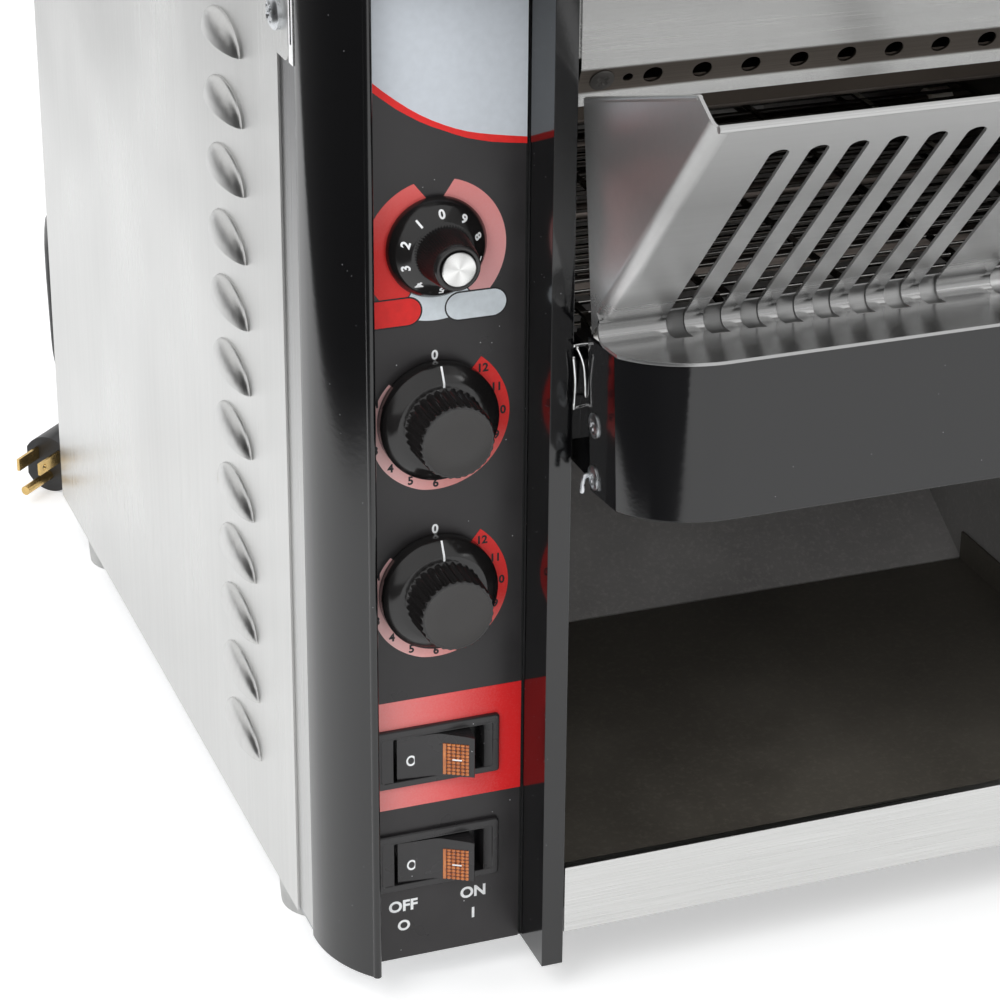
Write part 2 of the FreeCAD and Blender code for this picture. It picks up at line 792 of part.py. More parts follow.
# Rear panel between the side panels, with fan slots and the cord hole.
rear_plate = box("left_inside", "rear_inside", "0", inner_span, "frame_gauge", "cover_inside")
rear_tools = [cylinder("y", "0 - relief_left", "rear_inside - overrun", "relief_height",
                       "relief_base_radius", "frame_gauge + 2*overrun")]
for index in range(count("fan_slot_count")):
    rear_tools.append(box("fan_centre - fan_slot_length/2", "rear_inside - overrun",
                          "fan_height - fan_slot_height/2 + (%d - (fan_slot_count - 1)/2)"
                          "*fan_slot_pitch" % index,
                          "fan_slot_length", "frame_gauge + 2*overrun", "fan_slot_height"))
rear_screws = []
for across in ("left_inside + rear_screw_inset", "right_face - panel_gauge - rear_screw_inset"):
    for level in ("rear_screw_low", "post_height/2", "post_height - rear_screw_low"):
        rear_screws.append(screw("y", across, "rear_outside", level, "screw_head_radius",
                                 "screw_head_height"))
        rear_tools.append(screw_hole("y", across, "rear_outside", level))
node("rear_panel", cut(rear_plate, *rear_tools))
node("cabinet_screws", *lip_screws, *rear_screws)

# Loading ramp: slotted plate, shelf, bend between them, side walls and a hemmed top edge.
ramp_plate = turn(box("0", "0", "bend_start", "ramp_width", "frame_gauge",
                      "ramp_length - bend_start"),
                  FIRST_LEG, "ramp_angle", "ramp_left", "0 - ramp_foot_out", "ramp_foot_height")
shelf_sheet = box("0", "0 - shelf_depth", "0 - frame_gauge", "ramp_width",
                  "shelf_depth - bend_start", "frame_gauge")
shelf_middle = box("bumper_arc_in", "0 - shelf_depth", "0 - frame_gauge",
                   "ramp_width - 2*bumper_arc_in", "shelf_depth - bend_start", "frame_gauge")
shelf_round = "shelf_depth + bumper_overlap - bumper_arc_out"
shelf_corners = [cylinder("z", across, "bumper_overlap - bumper_arc_out", "0 - frame_gauge",
                          shelf_round, "frame_gauge")
                 for across in ("bumper_arc_in", "ramp_width - bumper_arc_in")]
shelf = turn(common(shelf_sheet, fuse(shelf_middle, *shelf_corners)),
             FIRST_LEG, "0 - shelf_angle", "ramp_left", "0 - ramp_foot_out", "ramp_foot_height")
bend = crosswise_arc("ramp_left", "0 - bend_out", "bend_height", "bend_radius", "frame_gauge",
                     "0 - 90 - shelf_angle", "90 + shelf_angle + ramp_angle", "ramp_width")
hem = turn(cylinder("x", "0", "frame_gauge/2", "ramp_length", "hem_radius", "ramp_width"),
           FIRST_LEG, "ramp_angle", "ramp_left", "0 - ramp_foot_out", "ramp_foot_height")
wall_points = [
    ("wall_root_in", "wall_root_height"),
    ("0 - wall_top_out", "wall_top_height"),
    ("0 - ramp_reach", "ramp_top"),
    ("0 - ramp_foot_out", "ramp_foot_height"),
]
ramp_wall_left = profile("YZ_Plane", wall_points, "ramp_left", "frame_gauge")
ramp_wall_right = profile("YZ_Plane", wall_points, "ramp_left + ramp_width - frame_gauge",
                          "frame_gauge")
slot_body = turn(fuse(box("0", "0 - overrun", "slot_bottom", "slot_width",
                          "frame_gauge + 2*overrun", "slot_top - slot_width/2 - slot_bottom"),
                      cylinder("y", "slot_width/2", "0 - overrun", "slot_top - slot_width/2",
                               "slot_width/2", "frame_gauge + 2*overrun")),
                 FIRST_LEG, "ramp_angle", "ramp_left", "0 - ramp_foot_out", "ramp_foot_height")
slot_foot = cylinder("x", "ramp_left", "0 - bend_out", "bend_height",
                     "bend_radius + frame_gauge + slot_relief", "slot_width")
slot_tool = fuse(slot_body, slot_foot)
slots = []
for index in range(count("slot_count")):
    offset = "slot_first + %d*slot_pitch" % index
    slots.append(shift(slot_tool, offset))
    slots.append(shift(slot_tool, "ramp_width - slot_width - (" + offset + ")"))
node("loading_ramp", cut(fuse(ramp_plate, shelf, bend, hem, ramp_wall_left, ramp_wall_right),
                         *slots))

# Bumper: a band with round front corners under the shelf, leaning back with it.
band_side = box("0", "0 - bumper_side", "0", "bumper_gauge", "bumper_side", "bumper_height")
band_arc = upright_arc("bumper_arc_in", "0 - bumper_arc_out", "0", "bumper_radius",
                       "bumper_gauge", "180 + bumper_kink_angle", "90 - bumper_kink_angle",
                       "bumper_height")
band_front = box("bumper_arc_in", "0 - bumper_reach", "0", "ramp_width - 2*bumper_arc_in",
                 "bumper_gauge", "bumper_height")
band = fuse(band_side, band_arc, band_front, mirror(band_side, "ramp_width/2"),
            mirror(band_arc, "ramp_width/2"))
bumper_solid = turn(band, FIRST_LEG, "0 - shelf_angle", "ramp_left", "bumper_back",
                    "bumper_bottom")
bumper_tools = []
for level in ("bumper_screw_low", "bumper_screw_high"):
    hole = screw_hole("-x", "ramp_left", "0 - bumper_screw_out", level)
    bumper_tools.extend([hole, mirror(hole, "middle")])
node("bumper", cut(bumper_solid, *bumper_tools))

# Mounting brackets: a plate inside each end of the bumper and a block against the post.
mount_plate = box("ramp_left + bumper_gauge", "0 - mount_reach", "mount_bottom", "mount_gauge",
                  "mount_reach + mount_tail", "mount_height")
mount_block = box("opening_left", "mount_block_front", "mount_block_bottom",
                  "ramp_gap + bumper_gauge", "mount_tail - mount_block_front",
                  "mount_block_height")
mount_holes = [screw_hole("-x", "ramp_left", "0 - bumper_screw_out", level)
               for level in ("bumper_screw_low", "bumper_screw_high")]
mount = cut(fuse(mount_plate, mount_block), *mount_holes)
node("bumper_brackets", mount, mirror(mount, "middle"))
bumper_screws = [screw("-x", "ramp_left", "0 - bumper_screw_out", level, "screw_head_radius",
                       "screw_head_height")
                 for level in ("bumper_screw_low", "bumper_screw_high")]
node("bumper_screws", *bumper_screws, *[mirror(item, "middle") for item in bumper_screws])

# Toast tray that slides out over two rails.
tray_left = "opening_left + tray_gap"
tray_width = "opening_width - 2*tray_gap"
tray_lip = box(tray_left, "0", "tray_lip_bottom", tray_width, "frame_gauge", "tray_lip_height")
tray_hem = box(tray_left, "0", "tray_lip_bottom + tray_lip_height - frame_gauge", tray_width,
               "tray_hem", "frame_gauge")
tray_floor = box(tray_left, "0", "tray_floor", tray_width, "tray_depth", "frame_gauge")
tray_side = box(tray_left, "0", "tray_floor", "frame_gauge", "tray_depth", "tray_side_height")
tray_other = box("opening_right - tray_gap - frame_gauge", "0", "tray_floor", "frame_gauge",
                 "tray_depth", "tray_side_height")
node("toast_tray", fuse(tray_lip, tray_hem, tray_floor, tray_side, tray_other))
rail = box("opening_left", "rail_front", "tray_floor - seat_gap - frame_gauge", "rail_width",
           "rail_length", "frame_gauge")
node("tray_rails", rail, mirror(rail, "middle"))

# Return chute: a slope from the end of the belt to the tray, with an upright back.
chute_rise = "(chute_bend - chute_front)*tan(chute_angle)"
chute_points = [
    ("chute_front", "chute_foot - frame_gauge"),
    ("chute_bend", "chute_foot - frame_gauge + " + chute_rise),
    ("chute_back", "chute_turn"),
    ("chute_back", "chute_top"),
    ("chute_back - frame_gauge", "chute_top"),
    ("chute_back - frame_gauge", "chute_turn + frame_gauge/4"),
    ("chute_bend - frame_gauge", "chute_foot + " + chute_rise),
    ("chute_front", "chute_foot + frame_gauge/4"),
]
node("return_chute", profile("YZ_Plane", chute_points, "opening_left", "opening_width"))

# Shafts: five notched wheels on each, and a chain wheel on the driven one.
shaft_left = "opening_left - frame_gauge - bush_flange - shaft_end"
shaft_length = "opening_width + 2*frame_gauge + 2*bush_flange + 2*shaft_end"


def belt_wheels(along):
    wheels = []
    for index in range(count("wheel_count")):
        wheels.append(cylinder("x", "opening_left + wheel_inset + %d*(opening_width"
                               " - 2*wheel_inset - wheel_width)/(wheel_count - 1)" % index,
                               along, "shaft_height", "wheel_radius", "wheel_width"))
    return wheels


def belt_notches(along):
    """Rounds across all wheels of a shaft, evenly spaced at the rim."""
    notches = []
    for index in range(count("notch_count")):
        angle = "%d*360/notch_count" % index
        notches.append(cylinder("x", "belt_left", along + " + wheel_radius*cos(" + angle + ")",
                                "shaft_height + wheel_radius*sin(" + angle + ")",
                                "notch_radius", "belt_width"))
    return notches


idler_rod = cylinder("x", shaft_left, "idler_back", "shaft_height", "shaft_radius",
                     shaft_length)
node("idler_shaft", cut(fuse(idler_rod, *belt_wheels("idler_back")),
                        *belt_notches("idler_back")))
drive_left = "0 - chain_wheel_left"
drive_rod = cylinder("x", drive_left, "drive_back", "shaft_height", "shaft_radius",
                     shaft_left + " + " + shaft_length + " - (" + drive_left + ")")
chain_wheel = cylinder("x", drive_left, "drive_back", "shaft_height", "chain_wheel_radius",
                       "chain_wheel_width")
node("drive_shaft", cut(fuse(drive_rod, chain_wheel, *belt_wheels("drive_back")),
                        *belt_notches("drive_back")))

# Flanged bushings in the inner walls.
bushings = []
for along in ("idler_back", "drive_back"):
    sleeve = cylinder("x", "opening_left - frame_gauge", along, "shaft_height", "bush_radius",
                      "frame_gauge")
    flange = cylinder("x", "opening_left - frame_gauge - bush_flange", along, "shaft_height",
                      "bush_flange_radius", "bush_flange")
    bore = cylinder("x", "opening_left - frame_gauge - bush_flange - overrun", along,
                    "shaft_height", "shaft_radius + running_clearance",
                    "frame_gauge + bush_flange + 2*overrun")
    bushing = cut(fuse(sleeve, flange), bore)
    bushings.extend([bushing, mirror(bushing, "middle")])
node("shaft_bushings", *bushings)

# Wire belt: crosswise rods round both shafts, joined by flat link rows.
belt_pieces = []
for index in range(count("strand_rods")):
    along = "idler_back + %d*shaft_span/(strand_rods - 1)" % index
    for side in ("+", "-"):
        belt_pieces.append(cylinder("x", "belt_left", along, "shaft_height " + side
                                    + " belt_radius", "rod_radius", "belt_width"))
for index in range(count("bend_rods") - 1):
    angle = "90 + %d*180/bend_rods" % (index + 1)
    belt_pieces.append(cylinder("x", "belt_left", "idler_back + belt_radius*cos(" + angle + ")",
                                "shaft_height + belt_radius*sin(" + angle + ")", "rod_radius",
                                "belt_width"))
    belt_pieces.append(cylinder("x", "belt_left", "drive_back - belt_radius*cos(" + angle + ")",
                                "shaft_height + belt_radius*sin(" + angle + ")", "rod_radius",
                                "belt_width"))
for index in range(count("link_count")):
    across = "belt_left + %d*(belt_width - link_width)/(link_count - 1)" % index
    for side in ("+", "-"):
        belt_pieces.append(box(across, "idler_back", "shaft_height " + side
                               + " belt_radius - link_gauge/2", "link_width", "shaft_span",
                               "link_gauge"))
    belt_pieces.append(crosswise_arc(across, "idler_back", "shaft_height",
                                     "belt_radius - link_gauge/2", "link_gauge", "90", "180",
                                     "link_width"))
    belt_pieces.append(crosswise_arc(across, "drive_back", "shaft_height",
                                     "belt_radius - link_gauge/2", "link_gauge", "0 - 90",
                                     "180", "link_width"))
node("wire_belt", fuse(*belt_pieces))


def chain_loop(radius, left, wide):
    """Loop round both chain wheels, the motor's at its origin."""
    return fuse(cylinder("x", left, "0", "0", radius, wide),
                cylinder("x", left, "chain_span", "0", radius, wide),
                box(left, "0", "0 - (" + radius + ")", wide, "chain_span", "2*(" + radius + ")"))


# Drive chain, motor sprocket, gearmotor and its upright bracket.
chain_inside = "chain_wheel_radius + chain_gap"
chain_band = cut(chain_loop(chain_inside + " + chain_gauge", "0", "chain_width"),
                 chain_loop(chain_inside, "0 - overrun", "chain_width + 2*overrun"))
node("drive_chain", turn(chain_band, FIRST_LEG, "atan2(chain_rise; chain_run)",
                         "0 - chain_wheel_left - (chain_width - chain_wheel_width)/2",
                         "motor_back", "motor_height"))
sprocket_disc = cylinder("x", "0 - chain_wheel_left", "motor_back", "motor_height",
                         "chain_wheel_radius", "chain_wheel_width")
sprocket_shaft = cylinder("-x", "0 - chain_wheel_left + chain_wheel_width/2", "motor_back",
                          "motor_height", "motor_shaft_radius", "motor_shaft_length")
node("motor_sprocket", fuse(sprocket_disc, sprocket_shaft))
gearbox = box("motor_plate_left - gearbox_width", "motor_back - gearbox_depth/2",
              "motor_height - gearbox_height/2", "gearbox_width", "gearbox_depth",
              "gearbox_height")
motor_can = cylinder("-y", "motor_plate_left - gearbox_width/2", "motor_back - gearbox_depth/2",
                     "motor_height", "motor_can_radius", "motor_can_length")
motor_bore = cylinder("-x", "motor_plate_left + overrun", "motor_back", "motor_height",
                      "motor_shaft_radius + running_clearance", "motor_shaft_length")
node("gearmotor", cut(fuse(gearbox, motor_can), motor_bore))
motor_plate = box("motor_plate_left", "motor_back - motor_plate_depth/2", "frame_gauge",
                  "motor_plate_gauge", "motor_plate_depth", "motor_plate_height")
motor_foot = box("motor_plate_left - gearbox_width", "motor_back - motor_plate_depth/2",
                 "frame_gauge", "gearbox_width", "motor_plate_depth", "motor_plate_gauge")
motor_hole = cylinder("x", "motor_plate_left - overrun", "motor_back", "motor_height",
                      "motor_hole_radius", "motor_plate_gauge + 2*overrun")
node("motor_bracket", cut(fuse(motor_plate, motor_foot), motor_hole))

# Heater tubes through ceramic insulators in the inner walls, and the reflector above them.
tube_left = "opening_left - frame_gauge - insulator_head - heater_tail"
tube_length = "opening_width + 2*(frame_gauge + insulator_head + heater_tail)"
insulators = []
for name, level in (("top_heaters", "top_heater_height"),
                    ("bottom_heaters", "bottom_heater_height")):
    tubes = []
    for index in range(count("heater_count")):
        along = "heater_first + %d*heater_pitch" % index
        tubes.append(cylinder("x", tube_left, along, level, "heater_radius", tube_length))
        sleeve = cylinder("x", "opening_left - frame_gauge", along, level, "insulator_radius",
                          "insulator_length")
        head = cylinder("x", "opening_left - frame_gauge - insulator_head", along, level,
                        "insulator_head_radius", "insulator_head")
        bore = cylinder("x", "opening_left - frame_gauge - insulator_head - overrun", along,
                        level, "heater_radius", "insulator_head + insulator_length + 2*overrun")
        insulator = cut(fuse(sleeve, head), bore)
        insulators.extend([insulator, mirror(insulator, "middle")])
    node(name, *tubes)
node("heater_insulators", *insulators)
reflector_points = [
    ("reflector_front", "reflector_height - reflector_drop"),
    ("reflector_front + frame_gauge", "reflector_height - reflector_drop"),
    ("reflector_front + frame_gauge", "reflector_height"),
    ("reflector_front + reflector_depth - frame_gauge", "reflector_height"),
    ("reflector_front + reflector_depth - frame_gauge", "reflector_height - reflector_drop"),
    ("reflector_front + reflector_depth", "reflector_height - reflector_drop"),
    ("reflector_front + reflector_depth", "reflector_height + frame_gauge"),
    ("reflector_front", "reflector_height + frame_gauge"),
]
node("top_reflector", profile("YZ_Plane", reflector_points, "opening_left", "opening_width"))

# Cooling fan at the rear of the control space.
fan_front = "rear_inside - fan_depth"
fan_block = box("fan_left", fan_front, "fan_height - fan_size/2", "fan_size", "fan_depth",
                "fan_size")
fan_bore = cylinder("y", "fan_centre", fan_front + " - overrun", "fan_height",
                    "fan_bore_radius", "fan_depth + 2*overrun")
fan_ring = cut(fan_block, fan_bore)
spider_flat = box("fan_centre - fan_bore_radius - fan_pin_radius/2",
                  "rear_inside - fan_spider_depth",
                  "fan_height - fan_spider_width/2", "2*fan_bore_radius + fan_pin_radius",
                  "fan_spider_depth", "fan_spider_width")
spider_tall = box("fan_centre - fan_spider_width/2", "rear_inside - fan_spider_depth",
                  "fan_height - fan_bore_radius - fan_pin_radius/2", "fan_spider_width",
                  "fan_spider_depth", "2*fan_bore_radius + fan_pin_radius")
spider_hub = cylinder("y", "fan_centre", "rear_inside - fan_spider_depth", "fan_height",
                      "fan_hub_radius", "fan_spider_depth")
fan_pin = cylinder("-y", "fan_centre", "rear_inside - fan_spider_depth/2", "fan_height",
                   "fan_pin_radius", "0.7*fan_hub_depth")
node("fan_frame", fuse(fan_ring, spider_flat, spider_tall, spider_hub, fan_pin))
blade = turn(box("fan_hub_radius - fan_pin_radius", "0 - fan_blade_gauge/2",
                 "0 - fan_blade_depth/2",
                 "fan_blade_radius - fan_hub_radius + fan_pin_radius", "fan_blade_gauge",
                 "fan_blade_depth"), FIRST_LEG, "fan_blade_angle", "0", "0", "fan_hub_depth/2")
blades = [turn(blade, UPRIGHT, "%d*360/fan_blade_count" % index)
          for index in range(count("fan_blade_count"))]
hub = cylinder("z", "0", "0", "0", "fan_hub_radius", "fan_hub_depth")
hub_bore = cylinder("z", "0", "0", "fan_hub_depth/4", "fan_pin_radius + running_clearance",
                    "fan_hub_depth")
rotor = cut(fuse(hub, *blades), hub_bore)
node("fan_rotor", turn(rotor, FIRST_LEG, "0 - 90", "fan_centre",
                       "rear_inside - fan_spider_depth - joint_gap - fan_hub_depth",
                       "fan_height"))


def flutes(across, level, start, radius, depth):
    """Rounds along the rim of a knob's grip."""
    rounds = []
    for index in range(count("flute_count")):
        angle = "%d*360/flute_count" % index
        rounds.append(cylinder("-y", across + " + (" + radius + ")*cos(" + angle + ")", start,
                               level + " + (" + radius + ")*sin(" + angle + ")",
                               "flute_radius", depth))
    return rounds


# Speed knob: wide dial skirt, slim fluted grip, end ring, metal cap and shaft.
knob_back = "overlay_front - knob_gap"
knob_across = "0 - knob_in"
shaft_from = "overlay_front + overlay_gauge + frame_gauge + knob_shaft_length"
speed_front = knob_back + " - speed_skirt_depth"
speed_end = speed_front + " - speed_grip_depth"
speed_skirt = cone("-y", knob_across, knob_back, "speed_height", "speed_skirt_radius",
                   "speed_skirt_top", "speed_skirt_depth")
speed_grip = cone("-y", knob_across, speed_front, "speed_height", "speed_grip_radius",
                  "speed_grip_top", "speed_grip_depth")
speed_flutes = flutes(knob_across, "speed_height", speed_front, "speed_grip_radius",
                      "speed_grip_depth + overrun")
speed_ring = cylinder("-y", knob_across, speed_end, "speed_height", "speed_ring_radius",
                      "speed_ring_depth")
speed_shaft = cylinder("-y", knob_across, shaft_from, "speed_height", "knob_shaft_radius",
                       shaft_from + " - (" + speed_front + ")")
fluted_grip = cut(speed_grip, *speed_flutes)
node("speed_knob", fuse(speed_skirt, fluted_grip, speed_ring, speed_shaft))
node("speed_knob_cap", cylinder("-y", knob_across, speed_end + " - speed_ring_depth",
                                "speed_height", "speed_cap_radius", "speed_cap_depth"))

# Heat knobs: bevelled skirt with a pointer groove, fluted grip and shaft.
for name, level in (("top_heat_knob", "top_heat_height"),
                    ("bottom_heat_knob", "bottom_heat_height")):
    rim_front = knob_back + " - heat_skirt_rim"
    bevel_front = rim_front + " - heat_skirt_bevel"
    rim = cylinder("-y", knob_across, knob_back, level, "heat_skirt_radius", "heat_skirt_rim")
    bevel = cone("-y", knob_across, rim_front, level, "heat_skirt_radius", "heat_skirt_top",
                 "heat_skirt_bevel")
    grip = cone("-y", knob_across, bevel_front, level, "heat_grip_radius", "heat_grip_top",
                "heat_grip_depth")
    grip_flutes = flutes(knob_across, level, bevel_front, "heat_grip_radius",
                         "heat_grip_depth + overrun")
    pointer = box("0 - knob_in - heat_pointer_width/2", rim_front + " - heat_pointer_depth",
                  level + " + heat_skirt_radius - heat_pointer_width", "heat_pointer_width",
                  "heat_pointer_depth + overrun", "heat_pointer_width*2")
    shaft = cylinder("-y", knob_across, shaft_from, level, "knob_shaft_radius",
                     shaft_from + " - (" + bevel_front + ")")
    node(name, cut(fuse(rim, bevel, cut(grip, *grip_flutes), shaft), pointer))

# Parts behind the plate that the knob shafts turn in.
pot_body = cylinder("y", knob_across, "plate_back", "speed_height", "pot_radius", "pot_depth")
shaft_bore = cylinder("y", knob_across, "plate_back - overrun", "speed_height",
                      "knob_shaft_radius + running_clearance",
                      "knob_shaft_length + 2*overrun")
node("speed_potentiometer", cut(pot_body, shaft_bore))
switches = []
for level in ("top_heat_height", "bottom_heat_height"):
    body = box("0 - knob_in - switch_size/2", "plate_back", level + " - switch_size/2",
               "switch_size", "switch_depth", "switch_size")
    bore = cylinder("y", knob_across, "plate_back - overrun", level,
                    "knob_shaft_radius + running_clearance", "knob_shaft_length + 2*overrun")
    switches.append(cut(body, bore))
node("heat_switches", *switches)

# Rocker switches: bezel with housing, rocker on two pivot pins, amber lens.
frames = []
rocker_half = "(rocker_width/2 - rocker_clearance)"
pivot_back = "overlay_front - bezel_depth + rocker_pivot_in"
for name, level in (("power", "power_height"), ("saver", "saver_height")):
    bezel = box("0 - rocker_centre - bezel_width/2", "overlay_front - bezel_depth",
                level + " - bezel_height/2", "bezel_width", "bezel_depth", "bezel_height")
    housing = box("0 - rocker_centre - (" + housing_width + ")/2", "overlay_front - overlay_gauge",
                  level + " - (" + housing_height + ")/2", housing_width,
                  "housing_depth + overlay_gauge", housing_height)
    hollow = box("0 - rocker_centre - rocker_width/2", "overlay_front - bezel_depth - overrun",
                 level + " - rocker_height/2", "rocker_width",
                 "bezel_depth + overrun + housing_depth - housing_back", "rocker_height")
    pin_hole = cylinder("z", "0 - rocker_centre", pivot_back, level
                        + " - rocker_height/2 - rocker_pin_length",
                        "rocker_pin_radius + running_clearance",
                        "rocker_height + 2*rocker_pin_length")
    frames.append(cut(fuse(bezel, housing), hollow, pin_hole))
    rocker_points = [
        ("0 - " + rocker_half, "0 - rocker_rise"),
        ("0", "0"),
        (rocker_half, "0 - rocker_rise"),
        (rocker_half + " - rocker_taper", "rocker_body"),
        ("0 - " + rocker_half + " + rocker_taper", "rocker_body"),
    ]
    slope = "rocker_rise/" + rocker_half
    lens_points = [
        ("lens_start", "0 - lens_start*" + slope + " - lens_stand"),
        ("lens_end", "0 - lens_end*" + slope + " - lens_stand"),
        ("lens_end", "0 - lens_end*" + slope + " + lens_depth"),
        ("lens_start", "0 - lens_start*" + slope + " + lens_depth"),
    ]
    tall = "rocker_height - 2*rocker_clearance"
    lens_tall = tall + " - 2*lens_side"
    paddle = profile("XY_Plane", rocker_points, "0 - (" + tall + ")/2", tall)
    lens = profile("XY_Plane", lens_points, "0 - (" + lens_tall + ")/2", lens_tall)
    pins = cylinder("z", "0", "0", "0 - (" + tall + ")/2 - rocker_clearance - rocker_pin_length/2",
                    "rocker_pin_radius", tall + " + 2*rocker_clearance + rocker_pin_length")
    for label, piece in (("_rocker", cut(fuse(paddle, pins), lens)), ("_lens", lens)):
        node(name + label, turn(piece, UPRIGHT, "0 - rocker_tilt_angle", "0 - rocker_centre",
                                pivot_back, level))
node("rocker_frames", *frames)

# Terminal block on the base pan.
terminal = box("0 - terminal_left", "terminal_back", "frame_gauge", "terminal_width",
               "terminal_depth", "terminal_height")
terminal_bores = [cylinder("y", "0 - terminal_left + terminal_width*(%d + 1)"
                           "/(terminal_count + 1)" % index, "terminal_back - overrun",
                           "frame_gauge + terminal_height/2", "terminal_bore",
                           "terminal_depth + 2*overrun")
                  for index in range(count("terminal_count"))]
node("terminal_block", cut(terminal, *terminal_bores))

# Strain relief: nut inside, flange outside, tapered sleeve towards the cord.
relief_nut = cylinder("-y", "0 - relief_left", "rear_outside", "relief_height",
                      "relief_base_radius", "frame_gauge + relief_nut")
relief_flange = cylinder("y", "0 - relief_left", "rear_outside", "relief_height",
                         "relief_flange_radius", "relief_flange")
relief_sleeve = cone("y", "0 - relief_left", "rear_outside", "relief_height",
                     "relief_base_radius", "relief_end_radius", "relief_length")
node("strain_relief", fuse(relief_nut, relief_flange, relief_sleeve))

# Plug, lying on the surface behind the cabinet.
plug_front = cylinder("-y", "0", "plug_body_length", "0", "plug_radius", "plug_body_length")
plug_trim = box("0 - plug_half_width", "0 - overrun", "0 - plug_radius - overrun",
                "2*plug_half_width", "plug_body_length + 2*overrun",
                "2*plug_radius + 2*overrun")
plug_neck = cone("y", "0", "plug_body_length", "0", "plug_half_width", "plug_tail_radius",
                 "plug_tail_length")
blade_places = ("0 - blade_spacing/2 - blade_gauge/2", "blade_spacing/2 - blade_gauge/2")
pins = []
sockets = []
for across in blade_places:
    flat = box(across, "0 - blade_length", "blade_rise - blade_width/2", "blade_gauge",
               "blade_length + overrun", "blade_width")
    sockets.append(flat)
    if across == blade_places[1]:
        hole = cylinder("x", across + " - overrun", "0 - blade_length + blade_hole_in",
                        "blade_rise", "blade_hole_radius", "blade_gauge + 2*overrun")
        flat = cut(flat, hole)
    pins.append(flat)
ground = cylinder("-y", "0", "overrun", "0 - ground_drop", "ground_radius",
                  "ground_length + overrun")
pins.append(ground)
sockets.append(ground)
plug_solid = cut(fuse(common(plug_front, plug_trim), plug_neck), *sockets)
for name, piece in (("plug_body", plug_solid), ("plug_pins", group(*pins))):
    node(name, turn(piece, UPRIGHT, "0 - plug_angle", "0 - plug_face_left", "plug_face_back",
                    "plug_height"))

# Cord routes: points of the free lead and of the tail, in the frame of the post.
FLOOR = -size("foot_height") + size("cord_diameter")/2
COIL_EAST = size("coil_across")
COIL_NORTH = size("coil_back")
LEAD_ROUTE = [
    (-60, 512, 128), (-59.5, 540, 128.5), (-56.5, 564.5, 114), (-54.5, 577.5, 90),
    (-53.5, 579, 58), (-52.5, 580, 29), (-43, 587, 5), (-24, 598, FLOOR), (14, 615, FLOOR),
    (66, 622, FLOOR), (COIL_EAST, COIL_NORTH + size("coil_radius"), FLOOR),
]
TAIL_ROUTE = [
    (COIL_EAST, COIL_NORTH - size("coil_radius"), FLOOR + size("coil_layer_pitch")),
    (97, 502, 0.1), (76, 504.5, -5.5), (57, 514, FLOOR), (38, 533, FLOOR), (16, 556, FLOOR),
    (-8, 566, -8), (-30.2, 560.4, -3), (-46.18, 545.11, 1),
]


def swept(edges, start, heading):
    """Round tube along a path."""
    circle = Part.Wire([Part.makeCircle(size("cord_diameter")/2, start, heading)])
    return Part.Wire(edges).makePipeShell([circle], True, False)


def smooth_tube(name, route):
    """Tube along straight runs joined by arcs, each as large as its two runs allow."""
    points = [FreeCAD.Vector(*point) for point in route]
    edges = []
    last = points[0]
    length = 0.0
    radii = []
    for before, corner, after in zip(points, points[1:], points[2:]):
        inward = (corner - before).normalize()
        outward = (after - corner).normalize()
        half = inward.getAngle(outward)/2
        reach = 0.45*min((corner - before).Length, (after - corner).Length)
        radius = reach/math.tan(half)
        first = corner - inward*reach
        final = corner + outward*reach
        bisector = (outward - inward).normalize()
        centre = corner + bisector*(radius/math.cos(half))
        middle = centre - bisector*radius
        edges.append(Part.LineSegment(last, first).toShape())
        edges.append(Part.Arc(first, middle, final).toShape())
        length += (first - last).Length + radius*2*half
        radii.append(round(radius, 1))
        last = final
    edges.append(Part.LineSegment(last, points[-1]).toShape())
    length += (points[-1] - last).Length
    tube = swept(edges, points[0], points[1] - points[0])
    area = math.pi*size("cord_diameter")**2/4
    print(name, "radii", radii, "volume over section times length",
          round(tube.Volume/(area*length), 5))
    return tube


def arc_through(start, heading, end):
    """Arc that leaves a point along a heading and ends at another point."""
    chord = end - start
    heading = FreeCAD.Vector(heading).normalize()
    cosine = heading.dot(chord)/chord.Length
    side = (heading + chord.normalize()).normalize()
    span = (end - start).Length
    middle = start + side*(span/2/math.sqrt((1 + cosine)/2))
    return Part.Arc(start, middle, end).toShape()


def biarc(start, first_heading, end, last_heading):
    """Two arcs that join two points with given headings."""
    gap = end - start
    straight = first_heading + last_heading
    bend_share = 2*(1 - first_heading.dot(last_heading))
    along = gap.dot(straight)
    if bend_share < 1e-9:
        reach = gap.dot(gap)/(4*gap.dot(last_heading))
    else:
        reach = (math.sqrt(along*along + bend_share*gap.dot(gap)) - along)/bend_share
    near = start + first_heading*reach
    far = end - last_heading*reach
    middle = (near + far)*0.5
    heading = (far - near).normalize()
    return [arc_through(start, first_heading, middle), arc_through(middle, heading, end)]


def half_turn(centre_across, centre_back, level, radius, northward):
    """Flat half turn, clockwise from above; northward ones run on the left side."""
    sign = 1 if northward else -1
    start = FreeCAD.Vector(centre_across, centre_back - sign*radius, level)
    middle = FreeCAD.Vector(centre_across - sign*radius, centre_back, level)
    end = FreeCAD.Vector(centre_across, centre_back + sign*radius, level)
    return Part.Arc(start, middle, end).toShape()


